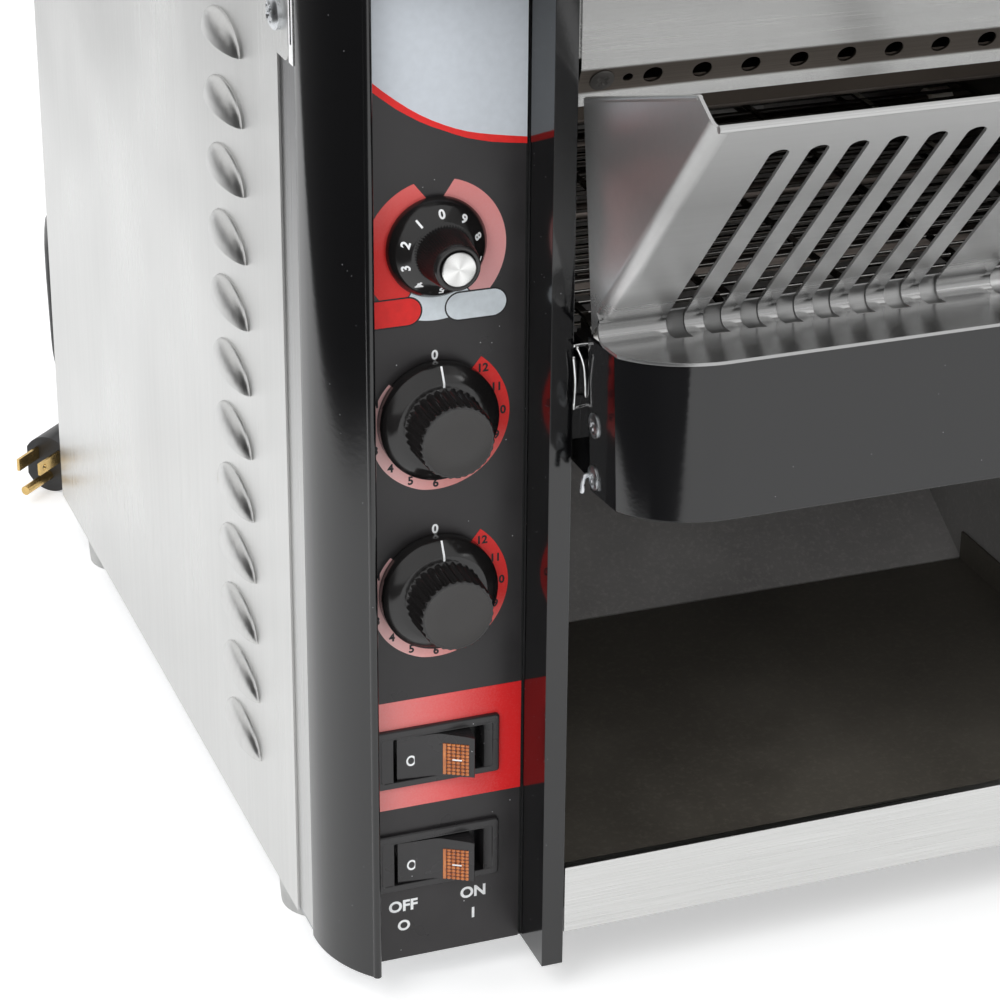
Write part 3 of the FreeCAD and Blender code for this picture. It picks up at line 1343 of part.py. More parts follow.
def coil_path():
    """Two layers: spiral in, climb in a half turn, spiral out. Starts at the far side."""
    pitch = size("coil_pitch")
    across = COIL_EAST + size("cord_diameter")
    low = FLOOR
    high = FLOOR + size("coil_layer_pitch")
    edges = []
    at = COIL_NORTH + size("coil_radius")
    edges.append(Part.LineSegment(FreeCAD.Vector(COIL_EAST, at, low),
                                  FreeCAD.Vector(across, at, low)).toShape())
    radius = size("coil_radius")
    for step in range(4):
        northward = step % 2 == 1
        centre = at + radius if northward else at - radius
        edges.append(half_turn(across, centre, low, radius, northward))
        at = centre + radius if northward else centre - radius
        radius -= pitch/2
    centre = at - radius
    start = FreeCAD.Vector(across, at, low)
    quarter = FreeCAD.Vector(across + radius, centre, (low + high)/2)
    end = FreeCAD.Vector(across, centre - radius, high)
    climb = FreeCAD.Vector(0, -radius*math.pi/2, (high - low)*0.75).normalize()
    edges.extend(biarc(start, FIRST_LEG, quarter, climb))
    edges.extend(biarc(quarter, climb, end, FIRST_LEG*-1))
    at = centre - radius
    for step in range(4):
        radius += pitch/2
        northward = step % 2 == 0
        centre = at + radius if northward else at - radius
        edges.append(half_turn(across, centre, high, radius, northward))
        at = centre + radius if northward else centre - radius
    edges.append(Part.LineSegment(FreeCAD.Vector(across, at, high),
                                  FreeCAD.Vector(COIL_EAST, at, high)).toShape())
    return edges


def least_gap(edges):
    """Smallest clear distance of a coiled tube to itself, measured on points."""
    points = []
    places = []
    travelled = 0.0
    for edge in edges:
        steps = max(8, int(edge.Length))
        samples = edge.discretize(steps)
        for index, point in enumerate(samples[:-1]):
            points.append(point)
            places.append(travelled + edge.Length*index/(steps - 1))
        travelled += edge.Length
    skip = size("coil_pitch")*3
    gap = min((points[i] - points[j]).Length
              for i in range(0, len(points), 2) for j in range(i + 1, len(points), 2)
              if places[j] - places[i] > skip)
    return gap - size("cord_diameter"), travelled


def feature(name, shape):
    item = document.addObject("Part::Feature", "Tube")
    item.Shape = shape
    return node(name, item)


coil_edges = coil_path()
coil_gap, coil_length = least_gap(coil_edges)
print("coil length", round(coil_length, 1), "least gap to itself", round(coil_gap, 3))
coil_tube = swept(coil_edges, FreeCAD.Vector(COIL_EAST, COIL_NORTH + size("coil_radius"), FLOOR),
                  FIRST_LEG)
feature("cord_lead", smooth_tube("cord_lead", LEAD_ROUTE))
feature("cord_coil", coil_tube)
feature("cord_tail", smooth_tube("cord_tail", TAIL_ROUTE))

document.recompute()
faults = [item.Name for item in document.Objects
          if "Invalid" in item.State or "Error" in item.State]
for item in nodes:
    shape = item.Shape
    if shape.isNull() or not shape.isValid() or not shape.Solids:
        faults.append(item.Label)
if faults:
    raise RuntimeError("faulty: " + ", ".join(faults))
os.makedirs("parts", exist_ok=True)
for item in nodes:
    item.Shape.exportStep("parts/" + item.Label + ".step")
    limits = item.Shape.BoundBox
    print("%-22s %2d solids %9.0f mm3  x %.1f..%.1f  y %.1f..%.1f  z %.1f..%.1f" % (
        item.Label, len(item.Shape.Solids), item.Shape.Volume, limits.XMin, limits.XMax,
        limits.YMin, limits.YMax, limits.ZMin, limits.ZMax))
print(len(nodes), "sub-parts")
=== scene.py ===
# Visual model of a countertop conveyor toaster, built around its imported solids.
import bpy
import bmesh
import math
from mathutils import Matrix, Vector


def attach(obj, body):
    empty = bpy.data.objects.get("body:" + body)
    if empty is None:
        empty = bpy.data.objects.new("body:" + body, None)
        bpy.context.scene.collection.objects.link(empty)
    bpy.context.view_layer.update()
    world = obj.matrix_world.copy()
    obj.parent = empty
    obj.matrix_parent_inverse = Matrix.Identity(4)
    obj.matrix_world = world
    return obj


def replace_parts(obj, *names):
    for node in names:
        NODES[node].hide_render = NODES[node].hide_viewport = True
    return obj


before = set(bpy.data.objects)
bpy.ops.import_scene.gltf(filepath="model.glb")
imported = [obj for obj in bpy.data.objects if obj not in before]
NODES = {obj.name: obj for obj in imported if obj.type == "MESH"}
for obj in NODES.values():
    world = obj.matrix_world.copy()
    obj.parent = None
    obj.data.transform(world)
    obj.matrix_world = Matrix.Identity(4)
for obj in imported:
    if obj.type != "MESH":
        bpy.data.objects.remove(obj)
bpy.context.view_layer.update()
SCENE = bpy.context.scene


def place(u, v, w):
    """A point given in millimetres from the bottom front corner of the left post."""
    return Vector(((u - 126.7) / 1000, (v - 187.262) / 1000, (w + 14) / 1000))


# Heights of the knobs' axes, and how far to the side they stand.
SPEED, HEAT, KNOB = 291, (("top", 226), ("bottom", 157.8)), -34.5

# ---- camera

AZIMUTH, ELEVATION, ROLL = (math.radians(a) for a in (20.4207, 25.2096, -0.4407))
ahead = Vector((math.sin(AZIMUTH) * math.cos(ELEVATION),
                math.cos(AZIMUTH) * math.cos(ELEVATION), -math.sin(ELEVATION)))
side = Vector((math.cos(AZIMUTH), -math.sin(AZIMUTH), 0))
down = ahead.cross(side)
right = math.cos(ROLL) * side + math.sin(ROLL) * down
below = -math.sin(ROLL) * side + math.cos(ROLL) * down
turned = Matrix((right, -below, -ahead)).transposed().to_4x4()
camera = bpy.data.objects.new("camera", bpy.data.cameras.new("camera"))
camera.data.lens = 112.084
camera.data.sensor_width = 36
camera.data.clip_start = 0.05
camera.data.clip_end = 50
camera.matrix_world = Matrix.Translation((-0.4944, -1.12496, 0.6863)) @ turned
SCENE.collection.objects.link(camera)
SCENE.camera = camera
SCENE.view_settings.view_transform = "Standard"


# ---- materials

class Nodes:
    """A few words for the nodes of a tree."""

    def __init__(self, owner):
        owner.use_nodes = True
        self.tree = owner.node_tree
        self.tree.nodes.clear()

    def node(self, kind, **values):
        made = self.tree.nodes.new("ShaderNode" + kind)
        for key, value in values.items():
            setattr(made, key, value)
        return made

    def feed(self, socket, value):
        if isinstance(value, bpy.types.NodeSocket):
            self.tree.links.new(value, socket)
        elif isinstance(value, tuple) and len(value) == 3 and len(socket.default_value) == 4:
            socket.default_value = (*value, 1)
        else:
            socket.default_value = value

    def spread(self, value, low, high, start=0.0, end=1.0):
        """A value from start..end laid out over low..high."""
        made = self.node("MapRange")
        self.feed(made.inputs["Value"], value)
        self.feed(made.inputs["From Min"], start)
        self.feed(made.inputs["From Max"], end)
        self.feed(made.inputs["To Min"], low)
        self.feed(made.inputs["To Max"], high)
        return made.outputs[0]

    def math(self, how, a, b=0.0):
        made = self.node("Math", operation=how)
        self.feed(made.inputs[0], a)
        self.feed(made.inputs[1], b)
        return made.outputs[0]

    def along(self, vector, name):
        """One part of a vector."""
        split = self.node("SeparateXYZ")
        self.feed(split.inputs[0], vector)
        return split.outputs[name]


class Shader(Nodes):
    """A material with a principled surface."""

    def __init__(self, name, color, roughness, metallic=0.0, **sockets):
        self.material = bpy.data.materials.new(name)
        super().__init__(self.material)
        self.out = self.node("OutputMaterial")
        self.surface = self.node("BsdfPrincipled")
        self.feed(self.out.inputs[0], self.surface.outputs[0])
        self.set("Base Color", color)
        self.set("Roughness", roughness)
        self.set("Metallic", metallic)
        for socket, value in sockets.items():
            self.set(socket.replace("_", " "), value)

    def set(self, socket, value):
        self.feed(self.surface.inputs[socket], value)

    def where(self, stretch=(1, 1, 1)):
        """The place on the object in metres, stretched along each axis."""
        scaled = self.node("Mapping")
        self.feed(scaled.inputs["Scale"], stretch)
        self.feed(scaled.inputs["Vector"], self.node("TexCoord").outputs["Object"])
        return scaled.outputs[0]

    def noise(self, scale, stretch=(1, 1, 1), detail=3.0, roughness=0.5):
        made = self.node("TexNoise")
        self.feed(made.inputs["Vector"], self.where(stretch))
        self.feed(made.inputs["Scale"], scale)
        self.feed(made.inputs["Detail"], detail)
        self.feed(made.inputs["Roughness"], roughness)
        return made.outputs["Fac"]

    def even(self, noise, low, high):
        """A noise laid out over low..high. Its values lie mostly from 0.3 to 0.7."""
        return self.spread(noise, low, high, 0.3, 0.7)

    def blend(self, share, a, b):
        made = self.node("Mix", data_type="RGBA")
        self.feed(made.inputs["Factor"], share)
        self.feed(made.inputs[6], a)
        self.feed(made.inputs[7], b)
        return made.outputs[2]

    def mottled(self, noise, a, b):
        return self.blend(self.even(noise, 0, 1), a, b)

    def axis(self, name):
        return self.along(self.node("TexCoord").outputs["Object"], name)

    def hair(self, grain):
        """Fine brush lines along one axis."""
        return self.noise(1.0, tuple(14.0 if axis == grain else 2600.0 for axis in "XYZ"), 4.0, 0.7)

    def brush(self, grain):
        """Fine brush lines, and the same mixed with broader ones."""
        hair = self.hair(grain)
        bands = self.noise(1.0, tuple(3.0 if axis == grain else 240.0 for axis in "XYZ"), 3.0, 0.6)
        return hair, self.math("ADD", self.math("MULTIPLY", hair, 0.6),
                               self.math("MULTIPLY", bands, 0.4))

    def relief(self, height, depth, soft=0.0):
        """Bump of a height, with corners rounded over soft metres."""
        bump = self.node("Bump")
        self.feed(bump.inputs["Height"], height)
        self.feed(bump.inputs["Distance"], depth)
        if soft:
            self.feed(bump.inputs["Normal"], self.rounded(soft))
        self.set("Normal", bump.outputs[0])

    def rounded(self, radius):
        made = self.node("Bevel", samples=4)
        self.feed(made.inputs["Radius"], radius)
        return made.outputs[0]

    def specks(self, share, size=900.0):
        """Sparse dots of dust: 1 on a dot, 0 elsewhere."""
        dots = self.node("TexVoronoi")
        self.feed(dots.inputs["Vector"], self.where())
        self.feed(dots.inputs["Scale"], size)
        near = self.math("LESS_THAN", dots.outputs["Distance"], 0.16)
        split = self.node("SeparateColor")
        self.feed(split.inputs[0], dots.outputs["Color"])
        return self.math("MULTIPLY", near, self.math("LESS_THAN", split.outputs[0], share))


def times(color, factor):
    return tuple(min(1.0, c * factor) for c in color)


def brushed(name, color, grain, roughness=0.27, soft=0.0004, streak=0.1):
    """Brushed stainless steel. grain is the axis that the brush lines run along."""
    m = Shader(name, color, roughness, 1.0)
    hair, both = m.brush(grain)
    clouds = m.noise(9.0, detail=2.0)
    m.set("Base Color", m.mottled(both, times(color, 0.86), times(color, 1.07)))
    m.set("Roughness", m.math("ADD", m.even(both, roughness - streak / 2, roughness + streak / 2),
                              m.even(clouds, -0.04, 0.05)))
    m.relief(hair, 0.00002, soft)
    return m.material


def enamel(name, color=(0.003, 0.003, 0.0034), roughness=0.1, dust=0.005, soft=0.0005, level=0.66):
    """Gloss enamel with a faint orange peel and a little dust."""
    m = Shader(name, color, roughness, Specular_IOR_Level=level)
    dots = m.specks(dust)
    m.set("Base Color", m.blend(dots, color, (0.22, 0.22, 0.23)))
    haze = m.noise(14.0, detail=3.0)
    m.set("Roughness", m.math("ADD", m.even(haze, roughness * 0.7, roughness * 1.5),
                              m.math("MULTIPLY", dots, 0.5)))
    m.relief(m.noise(420.0, detail=2.0), 0.000012, soft)
    return m.material


def plastic(name, color, roughness=0.3, grain=900.0, depth=0.00002, soft=0.0004, level=0.5,
            dust=0.0):
    """Moulded plastic with a fine spark-eroded grain."""
    m = Shader(name, color, roughness, Specular_IOR_Level=level)
    mottle = m.noise(60.0, detail=3.0)
    base = m.mottled(mottle, times(color, 0.8), times(color, 1.2))
    if dust:
        base = m.blend(m.specks(dust, 700.0), base, (0.55, 0.55, 0.56))
    m.set("Base Color", base)
    m.set("Roughness", m.even(mottle, roughness * 0.8, roughness * 1.25))
    m.relief(m.noise(grain, detail=2.0), depth, soft)
    return m.material


def ink(name, color, uneven=0.06, roughness=0.34):
    """Screen-printed ink with a little unevenness."""
    m = Shader(name, color, roughness, Specular_IOR_Level=0.2)
    tone = m.noise(300.0, detail=3.0)
    m.set("Base Color", m.mottled(tone, times(color, 1 - uneven), times(color, 1 + uneven)))
    m.set("Roughness", m.even(tone, roughness * 0.85, roughness * 1.15))
    return m


def fade(name, axis, start, end, first, last):
    """Printed ink whose colour runs from first to last along X or Z, with a print's dots."""
    start, end = (getattr(place(mm, 0, mm), axis.lower()) for mm in (start, end))
    m = ink(name, first)
    run = m.spread(m.axis(axis), 0.0, 1.0, start, end)
    grain = m.even(m.noise(1500.0, detail=1.0), -0.06, 0.06)
    m.set("Base Color", m.blend(m.math("ADD", run, grain), first, last))
    return m.material


def metal(name, color, roughness, scale=120.0, depth=0.00003, soft=0.0003):
    """Plain or cast metal with soft mottling."""
    m = Shader(name, color, roughness, 1.0)
    mottle = m.noise(scale, detail=4.0)
    m.set("Base Color", m.mottled(mottle, times(color, 0.8), times(color, 1.15)))
    m.set("Roughness", m.even(mottle, roughness * 0.75, roughness * 1.3))
    m.relief(mottle, depth, soft)
    return m.material


STEEL = (0.60, 0.60, 0.59)
steel_upright = brushed("steel_upright", STEEL, "Z", 0.3)
steel_deep = brushed("steel_deep", STEEL, "Y", 0.3)
zinc = metal("zinc", (0.62, 0.64, 0.66), 0.3, 260.0)
galvanised = metal("galvanised", (0.42, 0.43, 0.44), 0.38, 70.0)
chrome = metal("chrome", (0.78, 0.78, 0.78), 0.12, 200.0)
brass = metal("brass", (0.72, 0.50, 0.20), 0.24, 180.0)
oiled = metal("oiled", (0.10, 0.095, 0.09), 0.42, 150.0)
cast = metal("cast", (0.48, 0.48, 0.49), 0.5, 160.0, 0.0001)
heater = metal("heater", (0.22, 0.19, 0.17), 0.5, 90.0)
black_gloss = enamel("black_gloss")
black_bumper = enamel("black_bumper", (0.004, 0.004, 0.0046), 0.07, 0.006, 0.0006, 0.6)
black_plastic = plastic("black_plastic", (0.016, 0.016, 0.018), 0.3, dust=0.02)
knob_black = plastic("knob_black", (0.012, 0.011, 0.011), 0.16, 500.0, 0.00001)
knob_face = plastic("knob_face", (0.026, 0.024, 0.023), 0.45, 1400.0, 0.00004)
fan_black = plastic("fan_black", (0.014, 0.014, 0.015), 0.45)
rubber = plastic("rubber", (0.018, 0.018, 0.019), 0.42, 700.0, 0.00003)
ceramic = plastic("ceramic", (0.74, 0.70, 0.62), 0.55, 300.0, 0.00005)
foot_grey = plastic("foot_grey", (0.50, 0.50, 0.49), 0.5, 600.0)
bezel_black = plastic("bezel_black", (0.020, 0.019, 0.020), 0.3, 700.0, 0.00001, 0.0003, 0.5, 0.01)
rocker_black = plastic("rocker_black", (0.018, 0.017, 0.018), 0.24, 700.0, 0.000008, 0.0002,
                       0.5, 0.01)
overlay_black = plastic("overlay_black", (0.022, 0.020, 0.021), 0.34, 1600.0, 0.000008, 0, 0.4,
                        0.008)


def sooty(name, color, light, roughness):
    """Dark baked-on steel with rubbed patches and crumbs of soot."""
    m = Shader(name, color, roughness)
    cloud = m.noise(11.0, detail=5.0, roughness=0.62)
    grit = m.noise(420.0, detail=3.0, roughness=0.7)
    base = m.blend(m.spread(cloud, 0, 1, 0.35, 0.7), color, light)
    m.set("Base Color", m.blend(m.spread(grit, 0, 0.35, 0.5, 0.8), base, times(light, 1.7)))
    m.set("Roughness", m.even(cloud, roughness * 0.8, roughness * 1.2))
    m.relief(grit, 0.00003, 0.0004)
    return m


dark_steel = sooty("dark_steel", (0.33, 0.315, 0.305), (0.48, 0.465, 0.45), 0.45).material


def tray_material():
    """Stainless front lip on a dark baked floor."""
    m = sooty("tray_dark", (0.078, 0.070, 0.058), (0.13, 0.118, 0.098), 0.5)
    lip = m.math("LESS_THAN", m.axis("Y"), -0.1862)
    hem = m.math("MULTIPLY", m.math("GREATER_THAN", m.axis("Z"), 0.0545),
                 m.math("LESS_THAN", m.axis("Y"), -0.181))
    front = m.math("MAXIMUM", lip, hem)
    steel = m.node("BsdfPrincipled")
    hair = m.hair("X")
    m.feed(steel.inputs["Base Color"], m.mottled(hair, (0.52, 0.52, 0.51), (0.66, 0.66, 0.65)))
    m.feed(steel.inputs["Roughness"], m.even(hair, 0.24, 0.36))
    m.feed(steel.inputs["Metallic"], 1)
    m.feed(steel.inputs["Normal"], m.rounded(0.0006))
    both = m.node("MixShader")
    m.feed(both.inputs[0], front)
    m.feed(both.inputs[1], m.surface.outputs[0])
    m.feed(both.inputs[2], steel.outputs[0])
    m.feed(m.out.inputs[0], both.outputs[0])
    return m.material


def spun():
    """Turned aluminium: fine rings about the middle of the speed knob's cap, with a painted sheen
    of four light and dark lobes.
    """
    m = Shader("spun", (0.64, 0.64, 0.63), 0.28, 1.0)
    middle = place(KNOB, 0, SPEED)
    x = m.math("SUBTRACT", m.axis("X"), middle.x)
    z = m.math("SUBTRACT", m.axis("Z"), middle.z)
    radius = m.math("SQRT", m.math("ADD", m.math("MULTIPLY", x, x), m.math("MULTIPLY", z, z)))
    rings = m.math("SINE", m.math("MULTIPLY", radius, 21000.0))
    # Painted sheen: the colour runs light and dark in four lobes round the cap.
    painted_sheen_lobes = m.math("SINE", m.math("MULTIPLY", m.math("ARCTAN2", z, x), 4.0))
    m.set("Roughness", m.spread(rings, 0.22, 0.36, -1, 1))
    m.set("Base Color", m.blend(m.spread(painted_sheen_lobes, 0, 1, -1, 1), (0.57, 0.57, 0.56),
                                (0.75, 0.75, 0.74)))
    m.relief(rings, 0.000006, 0.0003)
    return m.material


def ramp_material():
    """Brushed steel with a little haze of handling, and painted light: a painted reflection that
    brightens the slope toward the shelf, a band of painted shade along the crease, and a painted
    tone of its own for the shelf.
    """
    m = Shader("steel_ramp", (0.7, 0.7, 0.695), 0.33, 0.85)
    hair, both = m.brush("X")
    height = m.axis("Z")
    # Painted reflection: the slope is bright low down and dim higher up.
    slope = m.blend(m.spread(height, 0, 1, 0.300, 0.345), (0.95, 0.95, 0.945), (0.47, 0.47, 0.465))
    # Painted shade: a dark band along the crease at the bottom of the slope.
    painted_crease_shade = m.blend(m.spread(height, 0, 1, 0.284, 0.302), (0.33, 0.33, 0.328), slope)
    # The shelf below the crease gets its own lighter painted tone.
    tone = m.blend(m.spread(height, 0, 1, 0.2785, 0.281), (0.72, 0.72, 0.715), painted_crease_shade)
    m.set("Base Color", m.blend(m.even(both, 0, 0.16), tone, (0.3, 0.3, 0.3)))
    m.set("Roughness", m.math("ADD", m.even(both, -0.04, 0.04),
                              m.spread(height, 0.17, 0.33, 0.279, 0.300)))
    m.relief(hair, 0.00002, 0.0002)
    return m.material


def corner_material():
    """Upright brushed steel with a painted reflection that darkens it toward its top."""
    m = Shader("steel_corner", (0.6, 0.6, 0.59), 0.3, 1.0)
    hair = m.hair("Z")
    # Painted reflection: light low down, dark toward the top.
    tone = m.blend(m.spread(m.axis("Z"), 0, 1, 0.19, 0.36), (0.47, 0.47, 0.465),
                   (0.10, 0.10, 0.104))
    m.set("Base Color", m.blend(m.even(hair, 0, 0.06), tone, (0.7, 0.7, 0.69)))
    m.set("Roughness", m.even(hair, 0.25, 0.35))
    m.relief(hair, 0.00002, 0.0004)
    return m.material


steel_ramp = ramp_material()
# Darker steel for the strip behind the slot feet: its dark tone is painted shade.
shaded_backing_steel = brushed("shaded_backing_steel", (0.36, 0.36, 0.358), "X", 0.4, 0.0002)
steel_corner = corner_material()
# Dark brown steel for the top reflector, made near black as painted shade for the dark inside of
# the oven.
browned_painted_shade = metal("browned_painted_shade", (0.06, 0.05, 0.042), 0.45, 40.0)


def wall_material():
    """Sheet that is near-black brown beside the belt and plain grey below it."""
    m = sooty("wall_steel", (0.30, 0.29, 0.28), (0.42, 0.41, 0.40), 0.45)
    plain = m.surface.inputs["Base Color"].links[0].from_socket
    high = m.spread(m.axis("Z"), 0, 1, 0.19, 0.235)
    m.set("Base Color", m.blend(high, plain, (0.035, 0.029, 0.024)))
    return m.material


def wire_material():
    """Bright belt wire with a painted highlight on its upper side and dark below it, and painted
    shade on the run that comes back underneath.
    """
    m = Shader("belt_wire", (0.6, 0.6, 0.58), 0.15, 1.0)
    # Painted highlight: the wire is bright only where it faces up and dark where it faces down.
    upper = m.spread(m.along(m.node("NewGeometry").outputs["Normal"], "Z"), 0, 1, 0.45, 0.85)
    mottle = m.noise(150.0, detail=4.0)
    bright = m.mottled(mottle, (0.62, 0.61, 0.59), (0.84, 0.83, 0.81))
    # Painted shade: the run that comes back underneath is made dark.
    painted_shade_under = m.math("MULTIPLY", m.spread(m.axis("Z"), 1, 0, 0.244, 0.254),
                   m.spread(m.axis("Y"), 0, 1, -0.170, -0.160))
    bright = m.blend(upper, (0.04, 0.037, 0.034), bright)
    m.set("Base Color", m.blend(painted_shade_under, bright, (0.05, 0.045, 0.04)))
    m.set("Roughness", m.even(mottle, 0.12, 0.2))
    m.relief(mottle, 0.00002, 0.0002)
    return m.material


def hood_material():
    """Brushed steel with a dark brown band along its pierced lip."""
    m = Shader("hood_steel", STEEL, 0.25, 1.0)
    hair, both = m.brush("X")
    height = m.axis("Z")
    lip = m.math("MULTIPLY", m.spread(height, 1, 0, 0.3700, 0.3712),
                 m.spread(height, 0, 1, 0.3604, 0.3614))
    bright = m.mottled(both, (0.43, 0.43, 0.425), (0.53, 0.53, 0.52))
    brown = m.mottled(both, (0.085, 0.072, 0.062), (0.15, 0.13, 0.112))
    m.set("Base Color", m.blend(lip, bright, brown))
    m.set("Roughness", m.math("ADD", m.even(both, 0.2, 0.3), m.math("MULTIPLY", lip, 0.12)))
    m.relief(hair, 0.00002, 0.0004)
    return m.material


amber = Shader("amber", (0.80, 0.20, 0.015), 0.12, Coat_Weight=0.6, Coat_Roughness=0.05)
amber.set("Base Color", amber.mottled(amber.noise(260.0), (0.42, 0.10, 0.012),
                                      (0.66, 0.21, 0.04)))
# A darker amber for the low faces of the lens, between the beads and at its rim: painted shade.
amber_painted_shade = Shader("amber_painted_shade", (0.20, 0.035, 0.004), 0.25)
amber_painted_shade.set("Base Color", amber_painted_shade.blend(amber_painted_shade.noise(300.0), (0.07, 0.012, 0.002),
                                              (0.16, 0.03, 0.004)))

white_ink = ink("white_ink", (0.93, 0.94, 0.95)).material
black_ink = ink("black_ink", (0.02, 0.02, 0.022)).material
pale_ink = ink("pale_ink", (0.78, 0.84, 0.88)).material
red_ink = ink("red_ink", (0.84, 0.030, 0.028)).material
silver_ink = ink("silver_ink", (0.66, 0.70, 0.75), 0.03).material


# ---- making pieces

def piece(name, mesh, body, *materials):
    made = bpy.data.objects.new(name, mesh)
    SCENE.collection.objects.link(made)
    for material in materials:
        mesh.materials.append(material)
    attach(made, body)
    return made


def sheet(name, points, faces):
    mesh = bpy.data.meshes.new(name)
    mesh.from_pydata([tuple(p) for p in points], [], faces)
    return mesh


def from_faces(name, points, faces):
    """Smooth mesh whose faces all point outward."""
    mesh = sheet(name, points, faces)
    mesh.validate()
    work = bmesh.new()
    work.from_mesh(mesh)
    bmesh.ops.remove_doubles(work, verts=work.verts, dist=1e-7)
    bmesh.ops.recalc_face_normals(work, faces=work.faces)
    work.to_mesh(mesh)
    work.free()
    for face in mesh.polygons:
        face.use_smooth = True
    return mesh


def final_mesh(item):
    """The mesh of an object with its curve or its cuts worked out."""
    bpy.context.view_layer.update()
    return bpy.data.meshes.new_from_object(
        item.evaluated_get(bpy.context.evaluated_depsgraph_get()))


def skin(rows, around, start=0):
    """Quads between rows of points, each row a closed loop."""
    return [(start + row * around + step, start + row * around + (step + 1) % around,
             start + (row + 1) * around + (step + 1) % around, start + (row + 1) * around + step)
            for row in range(rows - 1) for step in range(around)]


def closed(rows, around):
    """The same with a face on the first row and on the last."""
    return [tuple(range(around - 1, -1, -1)),
            tuple(range((rows - 1) * around, rows * around))] + skin(rows, around)


FORWARD, UP = Vector((0, -1, 0)), Vector((0, 0, 1))


def lathe(name, profile, centre, steps):
    """Turned form. profile holds (radius, height) or (radius, height, flute depth, flute count)."""
    across = UP.cross(FORWARD)
    points = []
    for radius, height, *flutes in profile:
        flute, count = flutes or (0, 0)
        for step in range(steps):
            angle = 2 * math.pi * step / steps
            wave = flute * (0.5 - 0.5 * math.cos(count * angle)) if flute else 0
            r = (radius - wave) / 1000
            points.append(centre + FORWARD * (height / 1000)
                          + UP * (r * math.cos(angle)) + across * (r * math.sin(angle)))
    return from_faces(name, points, closed(len(profile), steps))


def box(left, bottom, right_end, top):
    return [(left, bottom), (right_end, bottom), (right_end, top), (left, top)]


def joined(*forms):
    points, faces = [], []
    for more_points, more_faces in forms:
        start = len(points)
        points.extend(more_points)
        faces.extend(tuple(start + i for i in face) for face in more_faces)
    return points, faces


def paint_where(mesh, index, test):
    for face in mesh.polygons:
        if test(face):
            face.material_index = index


# ---- cord

FLOOR = -9.5
EAST, NORTH, COIL = 125.0, 562.0, 60.0
lead = [(-60, 512, 128), (-59.5, 540, 128.5), (-56.5, 564.5, 114), (-54.5, 577.5, 90),
        (-53.5, 579, 58), (-52.5, 580, 29), (-43, 587, 5), (-24, 598, FLOOR), (14, 615, FLOOR),
        (66, 622, FLOOR), (EAST, NORTH + COIL, FLOOR)]
tail = [(116, 502, 0.1), (97, 502, 0.1), (76, 504.5, -5.5), (57, 514, FLOOR), (38, 533, FLOOR),
        (16, 556, FLOOR), (-8, 566, -8), (-30.2, 560.4, -3), (-46.18, 545.11, 1)]


def coil_points():
    """Twelve control points a turn: two flat layers, in and out, with a half turn that climbs."""
    points = []
    radius, north_end, across = COIL, NORTH + COIL, EAST + 9
    for half in range(9):
        low = FLOOR if half < 4 else FLOOR + 9.6
        rise = 9.6 if half == 4 else 0
        level = FLOOR if half == 4 else low
        sign = 1 if half % 2 == 0 else -1
        middle = north_end - sign * radius
        for step in range(6):
            angle = math.radians(15 + 30 * step)
            reach = radius / math.cos(math.radians(15))
            points.append((across + sign * reach * math.sin(angle),
                           middle + sign * reach * math.cos(angle),
                           level + rise * (15 + 30 * step) / 180))
        north_end = middle - sign * radius
        radius += -4.8 if half < 4 else 4.8
    return points


def smooth_line(name, route, thick):
    """A round cord along one smooth spline whose control points are the route's."""
    data = bpy.data.curves.new(name, "CURVE")
    data.dimensions = "3D"
    data.bevel_depth = thick / 2
    data.bevel_resolution = 6
    data.resolution_u = 8
    data.use_fill_caps = True
    spline = data.splines.new("NURBS")
    spline.points.add(len(route) - 1)
    for point, spot in zip(spline.points, route):
        point.co = (*place(*spot), 1)
    spline.order_u = 3
    spline.use_endpoint_u = True
    return data


cord = piece("power_cord", smooth_line("power_cord", lead + coil_points() + tail, 0.009),
             "cabinet", rubber)
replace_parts(cord, "cord_lead", "cord_coil", "cord_tail")

# ---- materials of the CAD pieces

# The nodes that stay visible. The others are replaced by pieces of this script.
FINISH = [
    (galvanised, "base_pan tray_rails motor_bracket"),
    (foot_grey, "feet"),
    (steel_upright, "side_panel_left side_panel_right rear_panel"),
    (steel_corner, "corner_frame_left corner_frame_right"),
    (steel_deep, "top_cover"),
    (hood_material(), "hood_front"),
    (chrome, "bracket_strip"),
    (black_gloss, "bullnose_left bullnose_right control_plate post_left post_right"),
    (black_gloss, "front_plate_right bumper_brackets"),
    (black_bumper, "bumper"),
    (overlay_black, "control_overlay"),
    (wall_material(), "inner_wall_left inner_wall_right"),
    (tray_material(), "toast_tray"),
    (dark_steel, "return_chute"),
    (wire_material(), "wire_belt"),
    (oiled, "idler_shaft drive_shaft drive_chain motor_sprocket"),
    (brass, "shaft_bushings plug_pins"),
    (cast, "gearmotor"),
    (heater, "top_heaters bottom_heaters"),
    (ceramic, "heater_insulators terminal_block"),
    # The top reflector's near-black tone is painted shade.
    (browned_painted_shade, "top_reflector"),
    (fan_black, "fan_frame fan_rotor"),
    (zinc, "speed_potentiometer"),
    (black_plastic, "heat_switches"),
    (rubber, "strain_relief plug_body"),
]
for material, names in FINISH:
    for name in names.split():
        data = NODES[name].data
        if not data.materials:
            data.materials.append(material)
        for index in range(len(data.materials)):
            data.materials[index] = material

# ---- printed panel

PRINT = 23.8 - 0.07


def flat(name, outlines, material, front=PRINT, body="cabinet"):
    """Thin printed shapes on the panel. outlines holds closed lists of (u, w)."""
    points, faces = joined(*(([place(u, front, w) for u, w in outline],
                              [tuple(range(len(outline)))]) for outline in outlines))
    return piece(name, sheet(name, points, faces), body, material)


